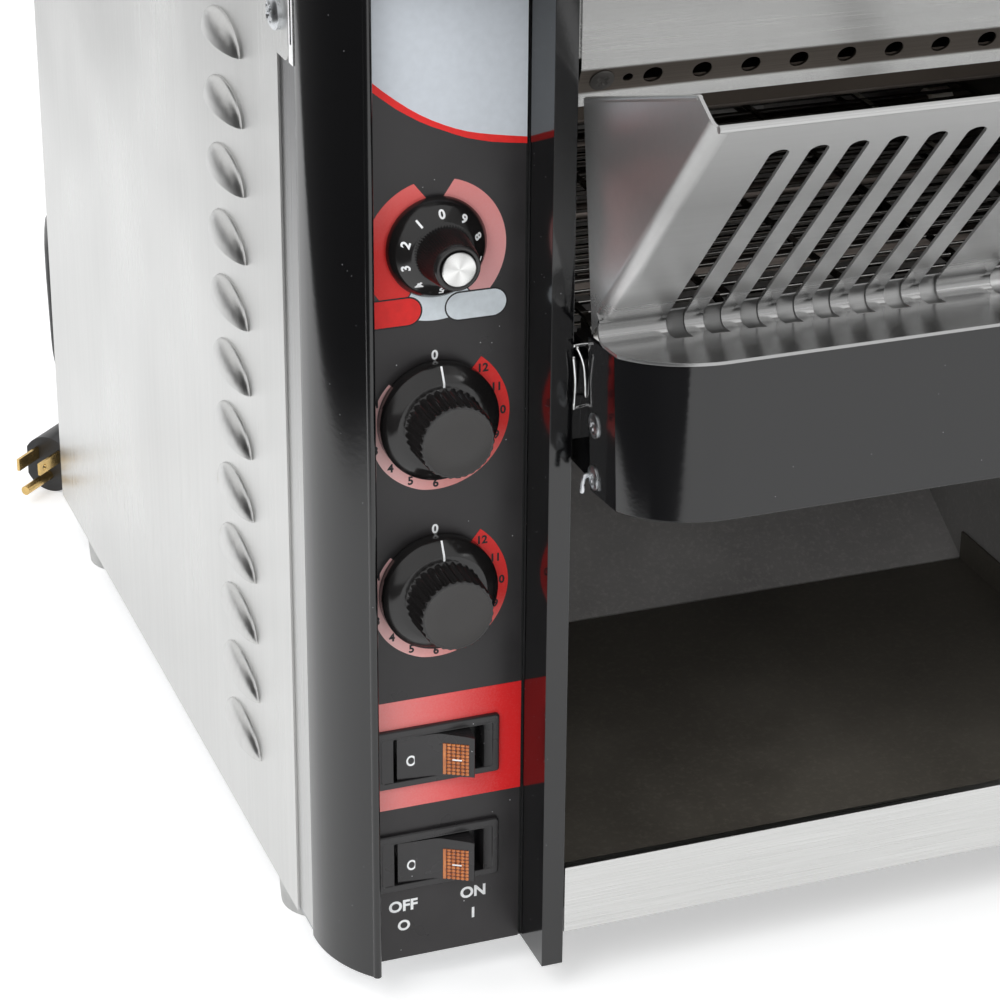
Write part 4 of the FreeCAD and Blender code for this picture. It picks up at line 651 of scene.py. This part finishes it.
def radius_at(edge, degrees):
    """edge is a radius, or (degrees, radius) pairs with an even run from each to the next."""
    if not isinstance(edge, list):
        return edge
    for (a, r), (b, q) in zip(edge, edge[1:]):
        if degrees <= b:
            return r + (q - r) * (degrees - a) / (b - a)
    return edge[-1][1]


def band(level, inner, outer, inner_from, outer_from, end, steps=48):
    """Strips of a ring about a knob, counter-clockwise from the top in degrees.

    The first edge leans where inner_from and outer_from differ."""
    strips = []
    for step in range(steps):
        corners = []
        for edge, start, more in ((inner, inner_from, 0), (inner, inner_from, 1),
                                  (outer, outer_from, 1), (outer, outer_from, 0)):
            degrees = start + (end - start) * (step + more) / steps
            radius, angle = radius_at(edge, degrees), math.radians(degrees)
            corners.append((KNOB - radius * math.sin(angle), level + radius * math.cos(angle)))
        strips.append(corners)
    return strips


PILL_STEPS = 16


def pill(left, right_end, bottom, top):
    half, middle, points = (top - bottom) / 2, (top + bottom) / 2, []
    for end, turn_from in ((right_end - half, -90), (left + half, 90)):
        for step in range(PILL_STEPS + 1):
            angle = math.radians(turn_from + 180 * step / PILL_STEPS)
            points.append((end + half * math.cos(angle), middle + half * math.sin(angle)))
    return points


def tongue(left, right_end, bottom, top):
    """A pill that runs off to the left."""
    end = pill(right_end - (top - bottom), right_end, bottom, top)[:PILL_STEPS + 1]
    return [(left, bottom), *end, (left, top)]


LEFT_EDGE, RIGHT_EDGE = -67.9, -0.7
RING, RING_IN, RING_OUT, HEAT_IN = SPEED - 1.6, 17.5, 26.3, 20.8
flat("speed_ring_left", band(RING, RING_IN, RING_OUT, 5.5, 17.3, 148),
             fade("print_speed_left", "Z", 314, 290, (0.84, 0.16, 0.15), (0.82, 0.035, 0.032)))
flat("speed_ring_right", band(RING, RING_IN, RING_OUT, -5.5, -15.6, -142),
     fade("print_speed_right", "Z", 314, 268, (0.82, 0.28, 0.27), (0.84, 0.44, 0.44)))
flat("speed_ring_bottom", band(RING, RING_IN, RING_OUT, 149.5, 149.5, 216.5), pale_ink,
     PRINT - 0.01)
flat("speed_pill_edges", [tongue(LEFT_EDGE, -39.3, 262.0, 273.2), pill(-31.1, -7.4, 261.6, 272.8)],
     black_ink, PRINT - 0.02)
flat("speed_pill_left", [tongue(LEFT_EDGE, -39.9, 262.6, 272.6)], red_ink, PRINT - 0.03)
flat("speed_pill_right", [pill(-30.5, -8, 262.2, 272.2)], pale_ink, PRINT - 0.03)

heat_out = [(49.5, 22.9), (80.8, 23.8), (132.8, 26.8), (168.9, 28.4), (224, 28.5),
            (268.8, 28.1), (295.4, 27.4), (320.8, 27.2)]
for label, level in HEAT:
    flat(label + "_heat_pale", band(level, HEAT_IN, heat_out, 49.5, 49.5, 215, 96),
         fade("print_" + label + "_pale", "X", -60, -24, (0.88, 0.58, 0.57), (0.84, 0.30, 0.28)))
    flat(label + "_heat_red", band(level, HEAT_IN, heat_out, 215, 215, 320.8, 64),
         fade("print_" + label + "_red", "Z", level - 26, level - 6, (0.82, 0.26, 0.24),
              (0.82, 0.035, 0.032)))

# The field leaves out what the upper switch's bezel covers.
flat("saver_field", [box(LEFT_EDGE, 67, RIGHT_EDGE, 77.7), box(LEFT_EDGE, 100, RIGHT_EDGE, 113),
                     box(LEFT_EDGE, 77.7, -56, 100), box(-13, 77.7, RIGHT_EDGE, 100)],
     fade("print_saver", "X", -58, -8, (0.84, 0.30, 0.29), (0.84, 0.022, 0.024)))

upper = [(LEFT_EDGE, 362.0), (-63.2, 357.4), (-58.3, 353.2), (-53.4, 348.9), (-48.5, 345.0),
         (-44.3, 341.9), (-40, 339.1), (-35.7, 336.7), (-31.3, 334.6), (-27.0, 332.8),
         (-22.6, 331.3), (-18.2, 330.2), (-13.8, 329.3), (-7.6, 328.2), (RIGHT_EDGE, 327.1)]
lower = [(LEFT_EDGE, 358.3), (-63.2, 353.9), (-58.3, 349.8), (-53.4, 345.8), (-48.6, 342.0),
         (-44.3, 339.2), (-40, 336.6), (-35.7, 334.4), (-31.3, 332.5), (-27.0, 330.6),
         (-22.6, 328.9), (-18.2, 327.7), (-13.8, 326.6), (-7.6, 325.6), (RIGHT_EDGE, 324.7)]
flat("title_field", [[(a[0], 395.4), a, b, (b[0], 395.4)] for a, b in zip(upper, upper[1:])],
     silver_ink)
flat("title_edge", [[a, c, d, b] for a, b, c, d in zip(upper, upper[1:], lower, lower[1:])],
     red_ink)


BOLDNESS = 0.035


def lettering(name, marks, material, body="cabinet"):
    """Printed characters. marks holds (text, middle, size, up, normal)."""
    points, faces = [], []
    for text, middle, size, up, normal in marks:
        curve = bpy.data.curves.new("mark", "FONT")
        curve.body = text
        curve.size = size / 1000
        curve.align_x = "CENTER"
        curve.align_y = "CENTER"
        curve.offset = BOLDNESS * size / 1000
        curve.resolution_u = 4
        holder = bpy.data.objects.new("mark", curve)
        SCENE.collection.objects.link(holder)
        mesh = final_mesh(holder)
        spots = [v.co for v in mesh.vertices]
        mid_x, mid_y = ((min(p[k] for p in spots) + max(p[k] for p in spots)) / 2 for k in (0, 1))
        across = up.cross(normal).normalized()
        start = len(points)
        points.extend(middle + across * (p.x - mid_x) + up * (p.y - mid_y) for p in spots)
        faces.extend(tuple(start + i for i in face.vertices) for face in mesh.polygons)
        bpy.data.objects.remove(holder)
        bpy.data.meshes.remove(mesh)
        bpy.data.curves.remove(curve)
    return piece(name, sheet(name, points, faces), body, material)


def on_panel(text, u, w, size):
    return text, place(u, PRINT - 0.05, w), size, UP, FORWARD


for label, level in HEAT:
    marks = []
    for number, radius in enumerate((23.4, 24.3, 24.8, 24.6, 25.5, 25.8, 25.8, 25.6, 25.3, 24.9,
                                     24.6, 24.6), 1):
        angle = math.radians(69.5 + 22.1 * (number - 1))
        marks.append(on_panel(str(number), KNOB - radius * math.sin(angle),
                              level + radius * math.cos(angle), 4.4))
    lettering(label + "_heat_numbers", marks, black_ink)
    lettering(label + "_heat_zero", [on_panel("0", KNOB - 0.3, level + 24.0, 4.9)], white_ink)
lettering("power_words", [on_panel("OFF", -48.0, 23.6, 6.6), on_panel("O", -47.8, 14.8, 6.2),
                          on_panel("ON", -19.7, 24.2, 6.6), on_panel("I", -19.6, 14.6, 6.2)],
          white_ink)

# ---- knobs

BACK = 23.5


def at(level, v=BACK):
    return place(KNOB, v, level)


speed_profile = [(17.3, 0), (18.3, 0), (18.4, 0.4), (18.4, 1.8), (17.9, 2.6), (16.6, 4.9),
                 (16.1, 5.3), (11.8, 8.3), (11.2, 8.5), (10.5, 8.6), (10.35, 8.75, 0.3, 60),
                 (10.2, 9.1, 0.6, 60), (8.75, 21.6, 0.6, 60), (8.62, 22.0, 0.4, 60),
                 (8.4, 22.2), (8.3, 22.4), (8.2, 23.6), (7.8, 24.0), (6.6, 24.0), (6.5, 23.6)]
knob = piece("speed_dial_knob", lathe("speed_dial_knob", speed_profile, at(SPEED), 480),
             "speed_dial", knob_black)
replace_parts(knob, "speed_knob")
cap_profile = [(6.2, 23.3), (6.25, 24.5), (6.1, 24.85), (5.8, 25.0), (3.0, 25.06), (0.3, 25.08)]
cap = piece("speed_dial_cap", lathe("speed_dial_cap", cap_profile, at(SPEED), 96), "speed_dial",
            spun())
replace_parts(cap, "speed_knob_cap")

marks = []
slope = Vector((4.3, 3.0)).normalized()
for number in range(10):
    angle = math.radians(36 * number)
    out = Vector((-math.sin(angle), 0, math.cos(angle)))
    normal = (out * slope.y + FORWARD * slope.x).normalized()
    up = (out * slope.x - FORWARD * slope.y).normalized()
    middle = at(SPEED) + out * 0.01395 + FORWARD * 0.0068 + normal * 0.00006
    marks.append((str(number), middle, 4.7, up, normal))
lettering("speed_numbers", marks, white_ink, "speed_dial")

heat_profile = [(20.6, 0), (21.9, 0), (22.2, 0.3), (22.2, 5.4), (21.9, 5.9), (17.2, 8.7),
                (16.6, 8.93), (14.9, 9.0), (14.6, 9.05, 0.3, 30), (14.55, 9.6, 1.1, 30),
                (14.1, 22.0, 1.1, 30), (13.95, 23.2, 0.9, 30), (13.75, 23.75, 0.3, 30),
                (13.3, 24.0), (12.6, 24.05), (12.45, 23.9), (6.0, 23.88), (0.4, 23.88)]
for label, level in HEAT:
    mesh = lathe(label + "_heat_dial_knob", heat_profile, at(level), 360)
    knob = piece(label + "_heat_dial_knob", mesh, label + "_heat_dial", knob_black, knob_face)
    paint_where(mesh, 1, lambda f: f.center.y < at(0, BACK - 23.8).y and (
        (f.center.x - at(level).x) ** 2 + (f.center.z - at(level).z) ** 2) < 0.0126 ** 2)
    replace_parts(knob, label + "_heat_knob")
    lines = [(0.38, 21.93, 5.96), (0.38, 17.22, 8.78), (0.38, 16.6, 9.0), (0.38, 15.0, 9.07)]
    points = [at(level) + Vector((side_of * half / 1000, -height / 1000, radius / 1000))
              for half, radius, height in lines for side_of in (-1, 1)]
    faces = [(2 * i, 2 * i + 1, 2 * i + 3, 2 * i + 2) for i in range(len(lines) - 1)]
    piece(label + "_pointer", sheet(label + "_pointer", points, faces), label + "_heat_dial",
          white_ink)

# ---- rocker switches

ROCKER, BEZEL = -34.7, 21.8


def rect_loft(loops, steps=6):
    """Rounded rectangles joined in turn. Each is (u, w, half width, half height, corner, v)."""
    points = []
    around = 4 * (steps + 1)
    for u, w, half_u, half_w, corner, v in loops:
        for side_u, side_w, begin in ((1, 1, 0), (-1, 1, 90), (-1, -1, 180), (1, -1, 270)):
            for step in range(steps + 1):
                angle = math.radians(begin + 90 * step / steps)
                points.append(place(u + side_u * (half_u - corner) + corner * math.cos(angle), v,
                                    w + side_w * (half_w - corner) + corner * math.sin(angle)))
    last = (len(loops) - 1) * around
    return points, skin(len(loops), around) + [tuple(range(last, last + around))]


def bezel(level):
    """Bezel with a stepped front, its housing open to the front."""
    outer = [(ROCKER, level + 1.3, 24.9 + grow, 12.3 + grow, 1.2, v)
             for grow, v in ((0, 23.8), (0, 22.4), (-0.45, 21.85), (-0.9, BEZEL), (-2.6, BEZEL),
                             (-2.9, BEZEL + 0.35))]
    inner = [(ROCKER + 0.7, level + 0.6, 17.9 + grow, 9.35 + grow, 0.6, v)
             for grow, v in ((0.7, BEZEL + 0.35), (0.2, BEZEL + 0.2), (0, BEZEL + 0.5), (0, 32.5))]
    return rect_loft(outer + inner)


mesh = from_faces("rocker_bezels", *joined(bezel(87.75), bezel(42.5)))
mesh.set_sharp_from_angle(angle=math.radians(35))
bezels = piece("rocker_bezels", mesh, "cabinet", bezel_black)
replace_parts(bezels, "rocker_frames")

# Section of a paddle at rest: (u from the pivot, v), over the front from left to right.
PADDLE = [(-15.6, 23.1), (-8, 22.6), (-3, 22.3), (-1, 22.1), (0.4, 21.8), (1.8, 21.3), (10.8, 16.1),
          (12.0, 15.1), (12.35, 15.0), (12.6, 15.3), (13.4, 27.5), (-15.0, 28)]
LENS, LENS_HEIGHT = ((1.8, 21.3), (10.8, 16.1)), 0.0137


def paddle(middle):
    points = []
    for sign in (-1, 1):
        for u, v in PADDLE:
            half = 9.2 - 0.12 * max(0.0, 22 - v)
            points.append(place(ROCKER + u, v, middle + sign * half))
    return points, closed(2, len(PADDLE))


lens_from, lens_to = (place(ROCKER + u, v, -14) for u, v in LENS)
for label, level, middle in (("power", 88.3, 86.95), ("saver", 42.7, 40.9)):
    body = label + "_switch"
    mesh = from_faces(label + "_paddle", *paddle(level))
    mesh.set_sharp_from_angle(angle=math.radians(35))
    rocker = piece(label + "_paddle", mesh, body, rocker_black)
    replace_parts(rocker, label + "_rocker")
    middle = (middle + 14) / 1000
    along = lens_to - lens_from
    width = along.length
    along.normalize()
    face_out = Vector((along.y, -along.x, 0))
    columns, rows, edge_strip = 84, 99, 0.15
    points, faces = [], []
    for row in range(rows + 1):
        for column in range(columns + 1):
            s, t = column / columns, row / rows
            a = (s - edge_strip) / (1 - edge_strip) * 5 % 1 - 0.5
            b = t * 9 % 1 - 0.5
            dome = max(0.0, 1 - (abs(a) ** 2.6 * 9.5 + abs(b) ** 2.6 * 11))
            if min(s, 1 - s, t, 1 - t) < 0.012:
                lift = -0.0002
            elif s < edge_strip - 0.02:
                lift = 0.00042
            else:
                lift = 0.00045 * math.sqrt(dome) + 0.00006
            points.append(lens_from + along * (width * s) + face_out * lift
                          + UP * (middle + LENS_HEIGHT * (t - 0.5)))
    for i in (row * (columns + 1) + column for row in range(rows) for column in range(columns)):
        faces.append((i, i + 1, i + columns + 2, i + columns + 1))
    mesh = from_faces(label + "_lens_beads", points, faces)
    lens = piece(label + "_lens_beads", mesh, body, amber.material, amber_painted_shade.material)
    plane = lens_from.dot(face_out)
    # The low faces take the darker amber as painted shade.
    paint_where(mesh, 1, lambda f: f.center.dot(face_out) - plane < 0.00014)
    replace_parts(lens, label + "_lens")
    centre = lens_from + along * (width * 0.55) + face_out * 0.00055 + UP * middle
    bar = [centre + along * (x / 1000) + UP * (z / 1000) for x, z in box(-1.8, -0.3, 1.8, 0.3)]
    piece(label + "_bar", sheet(label + "_bar", bar, [(0, 1, 2, 3)]), body, white_ink)
    ring = []
    for step in range(40):
        a, b = (2 * math.pi * (step + more) / 40 for more in (0, 1))
        ring.append([(ROCKER - 10.15 + r * 0.9 * math.cos(t), level - 0.9 + r * 1.05 * math.sin(t))
                     for r, t in ((1.35, a), (2.15, a), (2.15, b), (1.35, b))])
    flat(label + "_round_mark", ring, white_ink, 22.65, body)

# ---- loading ramp

RAMP_LEFT, RAMP_RIGHT, GAUGE, FOLD = 11.0, 293.0, 1.2, 5.0
LEAN, SHELF_LEAN, RAMP_LENGTH, CREASE = math.radians(42.6), math.radians(5), 142.0, 4.0
FOOT = (-10.5, 264.0)
SHELF_DEPTH, SLOT_WIDTH, SLOT_PITCH, SLOT_INSET, SLOT_TOP = 44.5, 6.8, 14, 25.3, 121.6
CREASE_HALF = (math.pi / 2 - LEAN - SHELF_LEAN) / 2
CREASE_RUN = CREASE / math.tan(CREASE_HALF)


def on_plate(u, s, q):
    """u across, s up the slope from the crease, q behind the plate's front face."""
    return place(u, FOOT[0] - s * math.sin(LEAN) + q * math.cos(LEAN),
                 FOOT[1] + s * math.cos(LEAN) + q * math.sin(LEAN))


def prism(outline, low, high, spot):
    """Closed form: an outline of pairs carried from low to high along a third axis."""
    points = [spot(a, b, end) for end in (low, high) for a, b in outline]
    return points, closed(2, len(outline))


def carve(name, body_form, *tool_forms):
    """A form with others cut away, as a mesh."""
    target = bpy.data.objects.new(name, from_faces(name, *body_form))
    SCENE.collection.objects.link(target)
    tools = []
    for form in tool_forms:
        tool = bpy.data.objects.new("tool", from_faces("tool", *form))
        SCENE.collection.objects.link(tool)
        tools.append(tool)
        cut = target.modifiers.new("cut", "BOOLEAN")
        cut.object = tool
        cut.solver = "EXACT"
    mesh = final_mesh(target)
    for item in [target, *tools]:
        bpy.data.objects.remove(item)
    return mesh


def form_of(mesh):
    return [v.co.copy() for v in mesh.vertices], [tuple(f.vertices) for f in mesh.polygons]


def rod(start, end, radius, steps=16):
    axis = (end - start).normalized()
    a = axis.orthogonal().normalized()
    b = axis.cross(a)
    points = [end_point + (a * math.cos(t) + b * math.sin(t)) * radius
              for end_point in (start, end)
              for t in (2 * math.pi * k / steps for k in range(steps))]
    return points, closed(2, steps)


crease_reach = CREASE / math.sin(CREASE_HALF)
crease_mid = (FOOT[0] - crease_reach * math.cos(CREASE_HALF + SHELF_LEAN),
              FOOT[1] + crease_reach * math.sin(CREASE_HALF + SHELF_LEAN))


def crease_arc(radius, steps=14):
    """From the shelf round the crease to the plate, in the section (v, w)."""
    start, end = -math.pi / 2 - SHELF_LEAN, LEAN
    return [(crease_mid[0] + radius * math.cos(start + (end - start) * k / steps),
             crease_mid[1] + radius * math.sin(start + (end - start) * k / steps))
            for k in range(steps + 1)]


shelf_out = (-math.cos(SHELF_LEAN), math.sin(SHELF_LEAN))
shelf_end = (FOOT[0] + SHELF_DEPTH * shelf_out[0], FOOT[1] + SHELF_DEPTH * shelf_out[1])
shelf_back = (shelf_end[0] - GAUGE * math.sin(SHELF_LEAN),
              shelf_end[1] - GAUGE * math.cos(SHELF_LEAN))
low_outline = [shelf_end] + crease_arc(CREASE) + crease_arc(CREASE + GAUGE)[::-1] + [shelf_back]


def in_section(v, w, u):
    return place(u, v, w)


def along_plate(s, q, u):
    return on_plate(u, s, q)


low_form = prism(low_outline, RAMP_LEFT, RAMP_RIGHT, in_section)
plate_form = prism(box(CREASE_RUN, 0, RAMP_LENGTH, GAUGE), RAMP_LEFT + FOLD, RAMP_RIGHT - FOLD,
                   along_plate)
body_tools, top_tools, foot_tools = [], [], []
for index in range(8):
    inset = SLOT_INSET + SLOT_PITCH * index
    for start in (RAMP_LEFT + inset, RAMP_RIGHT - SLOT_WIDTH - inset):
        middle, end = start + SLOT_WIDTH / 2, start + SLOT_WIDTH
        body_tools.append(prism(box(CREASE_RUN - 4, -3, SLOT_TOP, 4), start, end, along_plate))
        top_tools.append(rod(on_plate(middle, SLOT_TOP, -3), on_plate(middle, SLOT_TOP, 4),
                             0.00339, 24))
        foot_tools.append(rod(place(start, *crease_mid), place(end, *crease_mid), 0.006, 40))


def corner_tool(mirrored):
    """What the rounded front corner takes away from the shelf, in the shelf's own directions."""
    middle, reach = (32.89, -8.53), 35.97
    outline = [(middle[0] + 0.01, -60)]
    for step in range(33):
        angle = math.radians(-90 - 71 * step / 32)
        outline.append((middle[0] + reach * math.cos(angle), middle[1] + reach * math.sin(angle)))
    outline.append((-8, outline[-1][1]))
    outline.append((-8, -60))

    def on_shelf(x, y, z):
        return place(RAMP_RIGHT - x if mirrored else RAMP_LEFT + x,
                     FOOT[0] + y * math.cos(SHELF_LEAN) + z * math.sin(SHELF_LEAN),
                     FOOT[1] - y * math.sin(SHELF_LEAN) + z * math.cos(SHELF_LEAN))
    return prism(outline, -4, 4, on_shelf)


plate_mesh = carve("plate", plate_form, joined(*body_tools), joined(*top_tools))
low_mesh = carve("shelf", low_form, joined(*foot_tools), corner_tool(False), corner_tool(True))


def fold_section(steps=10):
    """Rounded edge between plate and side wall: outer then inner arc, in (u from the side, q)."""
    outer = [(FOLD - FOLD * math.sin(t), FOLD - FOLD * math.cos(t))
             for t in (math.pi / 2 * k / steps for k in range(steps + 1))]
    inner = [(FOLD - (FOLD - GAUGE) * math.sin(t), FOLD - (FOLD - GAUGE) * math.cos(t))
             for t in (math.pi / 2 * k / steps for k in range(steps, -1, -1))]
    return outer + inner


def wall(mirrored):
    def side(u):
        return RAMP_RIGHT - u if mirrored else RAMP_LEFT + u
    strip = prism(fold_section(), CREASE_RUN, RAMP_LENGTH - 0.6,
                  lambda u, q, s: on_plate(side(u), s, q))
    sheet_part = prism([(4.08, FOLD), (RAMP_LENGTH - 0.8, FOLD), (138.5, 14.87), (52.67, 64.6)],
                       0, GAUGE, lambda s, q, u: on_plate(side(u), s, q))
    toe = prism([(0.6, 0.6), (CREASE_RUN, 0.6), (CREASE_RUN, FOLD), (4.08, FOLD)], 0, GAUGE,
                lambda s, q, u: on_plate(side(u), s, q))
    hem = rod(on_plate(side(0.75), 137.6, 14.6), on_plate(side(0.75), 53.4, 63.4), 0.0011)
    return joined(strip, sheet_part, toe, hem)


# The strip that closes the feet of the slots from behind, in darker steel as painted shade.
backing = prism(crease_arc(CREASE + GAUGE + 0.3) + crease_arc(CREASE + GAUGE + 0.8)[::-1],
                RAMP_LEFT + 20, RAMP_RIGHT - 20, in_section)
piece("slot_feet_backing", from_faces("slot_feet_backing", *backing), "cabinet", shaded_backing_steel)
top_hem = rod(on_plate(RAMP_LEFT + 1.5, RAMP_LENGTH, 0.6),
              on_plate(RAMP_RIGHT - 1.5, RAMP_LENGTH, 0.6), 0.0013, 20)
ramp_mesh = from_faces("ramp_sheet", *joined(form_of(plate_mesh), form_of(low_mesh), wall(False),
                                             wall(True), top_hem))
ramp_mesh.set_sharp_from_angle(angle=math.radians(28))
for face in ramp_mesh.polygons:
    if len(face.vertices) > 5 or face.area > 0.0003:
        face.use_smooth = False
ramp = piece("ramp_sheet", ramp_mesh, "cabinet", steel_ramp)
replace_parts(ramp, "loading_ramp")

# ---- screws


def screw_heads(name, spots, radius, material, body="cabinet"):
    """Pan heads with a cross recess. spots holds (middle of the seat, outward, height)."""
    points, faces = [], []
    rings, steps = 22, 48
    for middle, out, height in spots:
        a = out.orthogonal().normalized()
        b = out.cross(a)
        start = len(points)
        for ring in range(rings + 1):
            share = ring / rings
            r = radius * math.sin(share * math.pi / 2)
            for step in range(steps):
                t = 2 * math.pi * step / steps
                x, y = r * math.cos(t), r * math.sin(t)
                z = height * (1 - (r / radius) ** 4 * 0.55) if ring < rings else 0
                arm = min(abs(x), abs(y))
                reach = max(abs(x), abs(y))
                if arm < radius * 0.15 and reach < radius * 0.58:
                    z -= height * 0.5 * (1 - (reach / (radius * 0.58)) ** 3)
                points.append(middle + a * x + b * y + out * z)
        faces.extend(skin(rings + 1, steps, start))
    mesh = from_faces(name, points, faces)
    mesh.set_sharp_from_angle(angle=math.radians(40))
    return piece(name, mesh, body, material)


spots = [(place(u, -15, w), Vector((x, 0, 0)), 0.0011)
         for w in (212, 232) for u, x in ((11.0, -1), (293.0, 1))]
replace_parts(screw_heads("bumper_screw_heads", spots, 0.0046, zinc), "bumper_screws")
spots = [(place(u, 70, 366), Vector((x, 0, 0)), 0.0032) for u, x in ((-76.3, -1), (329.7, 1))]
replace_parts(screw_heads("corner_screw_heads", spots, 0.0065, zinc), "corner_screws")
lip_out = Vector((0, -9.6, -5)).normalized()
screw_heads("lip_screw_heads", [(place(u, 2.5, 351.8), lip_out, 0.0009) for u in (18.0, 286.0)],
            0.0044, oiled)
spots = [(place(u, 479, w), Vector((0, 1, 0)), 0.0024)
         for u in (-75.3 + 9, 329.7 - 1 - 9) for w in (20, 395.7 / 2, 375.7)]
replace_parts(screw_heads("cabinet_screw_heads", spots, 0.0046, zinc), "cabinet_screws")

# ---- clip and hook by the bumper


def bent_wire(name, routes, thick, material):
    """Round wires, each along one smooth spline, as one mesh."""
    forms = []
    for route in routes:
        holder = bpy.data.objects.new("wire", smooth_line("wire", route, thick))
        SCENE.collection.objects.link(holder)
        forms.append(form_of(final_mesh(holder)))
        bpy.data.objects.remove(holder)
    return piece(name, from_faces(name, *joined(*forms)), "cabinet", material)


bent_wire("spring_clip",
          [[(7.3, -3, 254), (7.9, -3, 249), (8.3, -3, 243.7), (7.8, -3, 234.6)],
           [(8.5, -3, 257.5), (10.6, -3, 253.5), (12.0, -3, 247), (12.2, -3, 238)],
           [(7.2, -3, 258), (10, -3, 258.3), (13, -3, 258)],
           [(7.4, -3, 234.2), (10, -3, 234.6), (13.2, -3, 235)]], 0.0011, chrome)
bent_wire("stop_hook", [[(11.4, -12, 211.9), (9.4, -12, 212), (8.3, -12, 211.2), (8.0, -12, 208.6),
                         (7.8, -12, 205.4)]], 0.0019, zinc)

# ---- floor, backdrop, light

pale = Shader("pale_floor", (0.86, 0.86, 0.86), 0.6)
path = pale.node("LightPath")
x, y = pale.axis("X"), pale.axis("Y")
unlit = pale.math("MAXIMUM", pale.spread(x, 1, 0, -0.725, -0.685),
                  pale.math("MULTIPLY", pale.spread(y, 1, 0, -0.5, -0.28),
                            pale.spread(x, 1, 0, -0.535, -0.495)))
dim = pale.math("MULTIPLY", unlit, path.outputs["Is Glossy Ray"])
pale.set("Base Color", pale.blend(dim, (0.86, 0.86, 0.86), (0.03, 0.03, 0.03)))
seen = pale.math("MAXIMUM", path.outputs["Is Camera Ray"],
                 pale.math("MAXIMUM", path.outputs["Is Glossy Ray"],
                           path.outputs["Is Transmission Ray"]))
glow = pale.node("Emission")
glow.inputs["Color"].default_value = (1, 1, 1, 1)
level = pale.math("MULTIPLY", seen, pale.spread(dim, 0.42, 0.0))
pale.feed(glow.inputs["Strength"], level)
both = pale.node("AddShader")
pale.feed(both.inputs[0], pale.surface.outputs[0])
pale.feed(both.inputs[1], glow.outputs[0])
pale.feed(pale.out.inputs[0], both.outputs[0])
floor_mesh = sheet("floor", [(-6, -6, 0), (6, -6, 0), (6, 9, 0), (-6, 9, 0)], [(0, 1, 2, 3)])
floor_mesh.materials.append(pale.material)
floor = bpy.data.objects.new("floor", floor_mesh)
SCENE.collection.objects.link(floor)

world = bpy.data.worlds.new("studio")
SCENE.world = world
studio = Nodes(world)


def background(color, strength):
    made = studio.node("Background")
    studio.feed(made.inputs["Color"], color)
    studio.feed(made.inputs["Strength"], strength)
    return made.outputs[0]


# The camera sees white. Mirror-like surfaces do too, but for a dark zone at the left.
rays = studio.node("LightPath").outputs
straight = studio.math("MAXIMUM", rays["Is Camera Ray"], rays["Is Transmission Ray"])
seen = studio.math("MAXIMUM", straight, rays["Is Glossy Ray"])
heading = studio.along(studio.node("TexCoord").outputs["Generated"], "X")
brightest = studio.math("MAXIMUM", straight, studio.spread(heading, 0.04, 1.0, -0.82, -0.72))
mixed = studio.node("MixShader")
studio.feed(mixed.inputs[0], seen)
studio.feed(mixed.inputs[1], background((0.98, 0.99, 1.0), 0.82))
studio.feed(mixed.inputs[2], background((1, 1, 1), brightest))
studio.feed(studio.node("OutputWorld").inputs["Surface"], mixed.outputs[0])


def softbox(name, spot, target, wide, tall, power):
    data = bpy.data.lights.new(name, "AREA")
    data.shape = "RECTANGLE"
    data.size = wide
    data.size_y = tall
    data.energy = power
    lamp = bpy.data.objects.new(name, data)
    lamp.location = spot
    lamp.rotation_euler = (Vector(target) - Vector(spot)).to_track_quat("-Z", "Y").to_euler()
    SCENE.collection.objects.link(lamp)
    return lamp


softbox("key", (-1.7, -1.2, 2.1), (0, 0, 0.2), 1.4, 1.4, 26).visible_glossy = False
softbox("fill", (1.9, -1.6, 1.5), (0, 0, 0.2), 1.2, 1.2, 12)
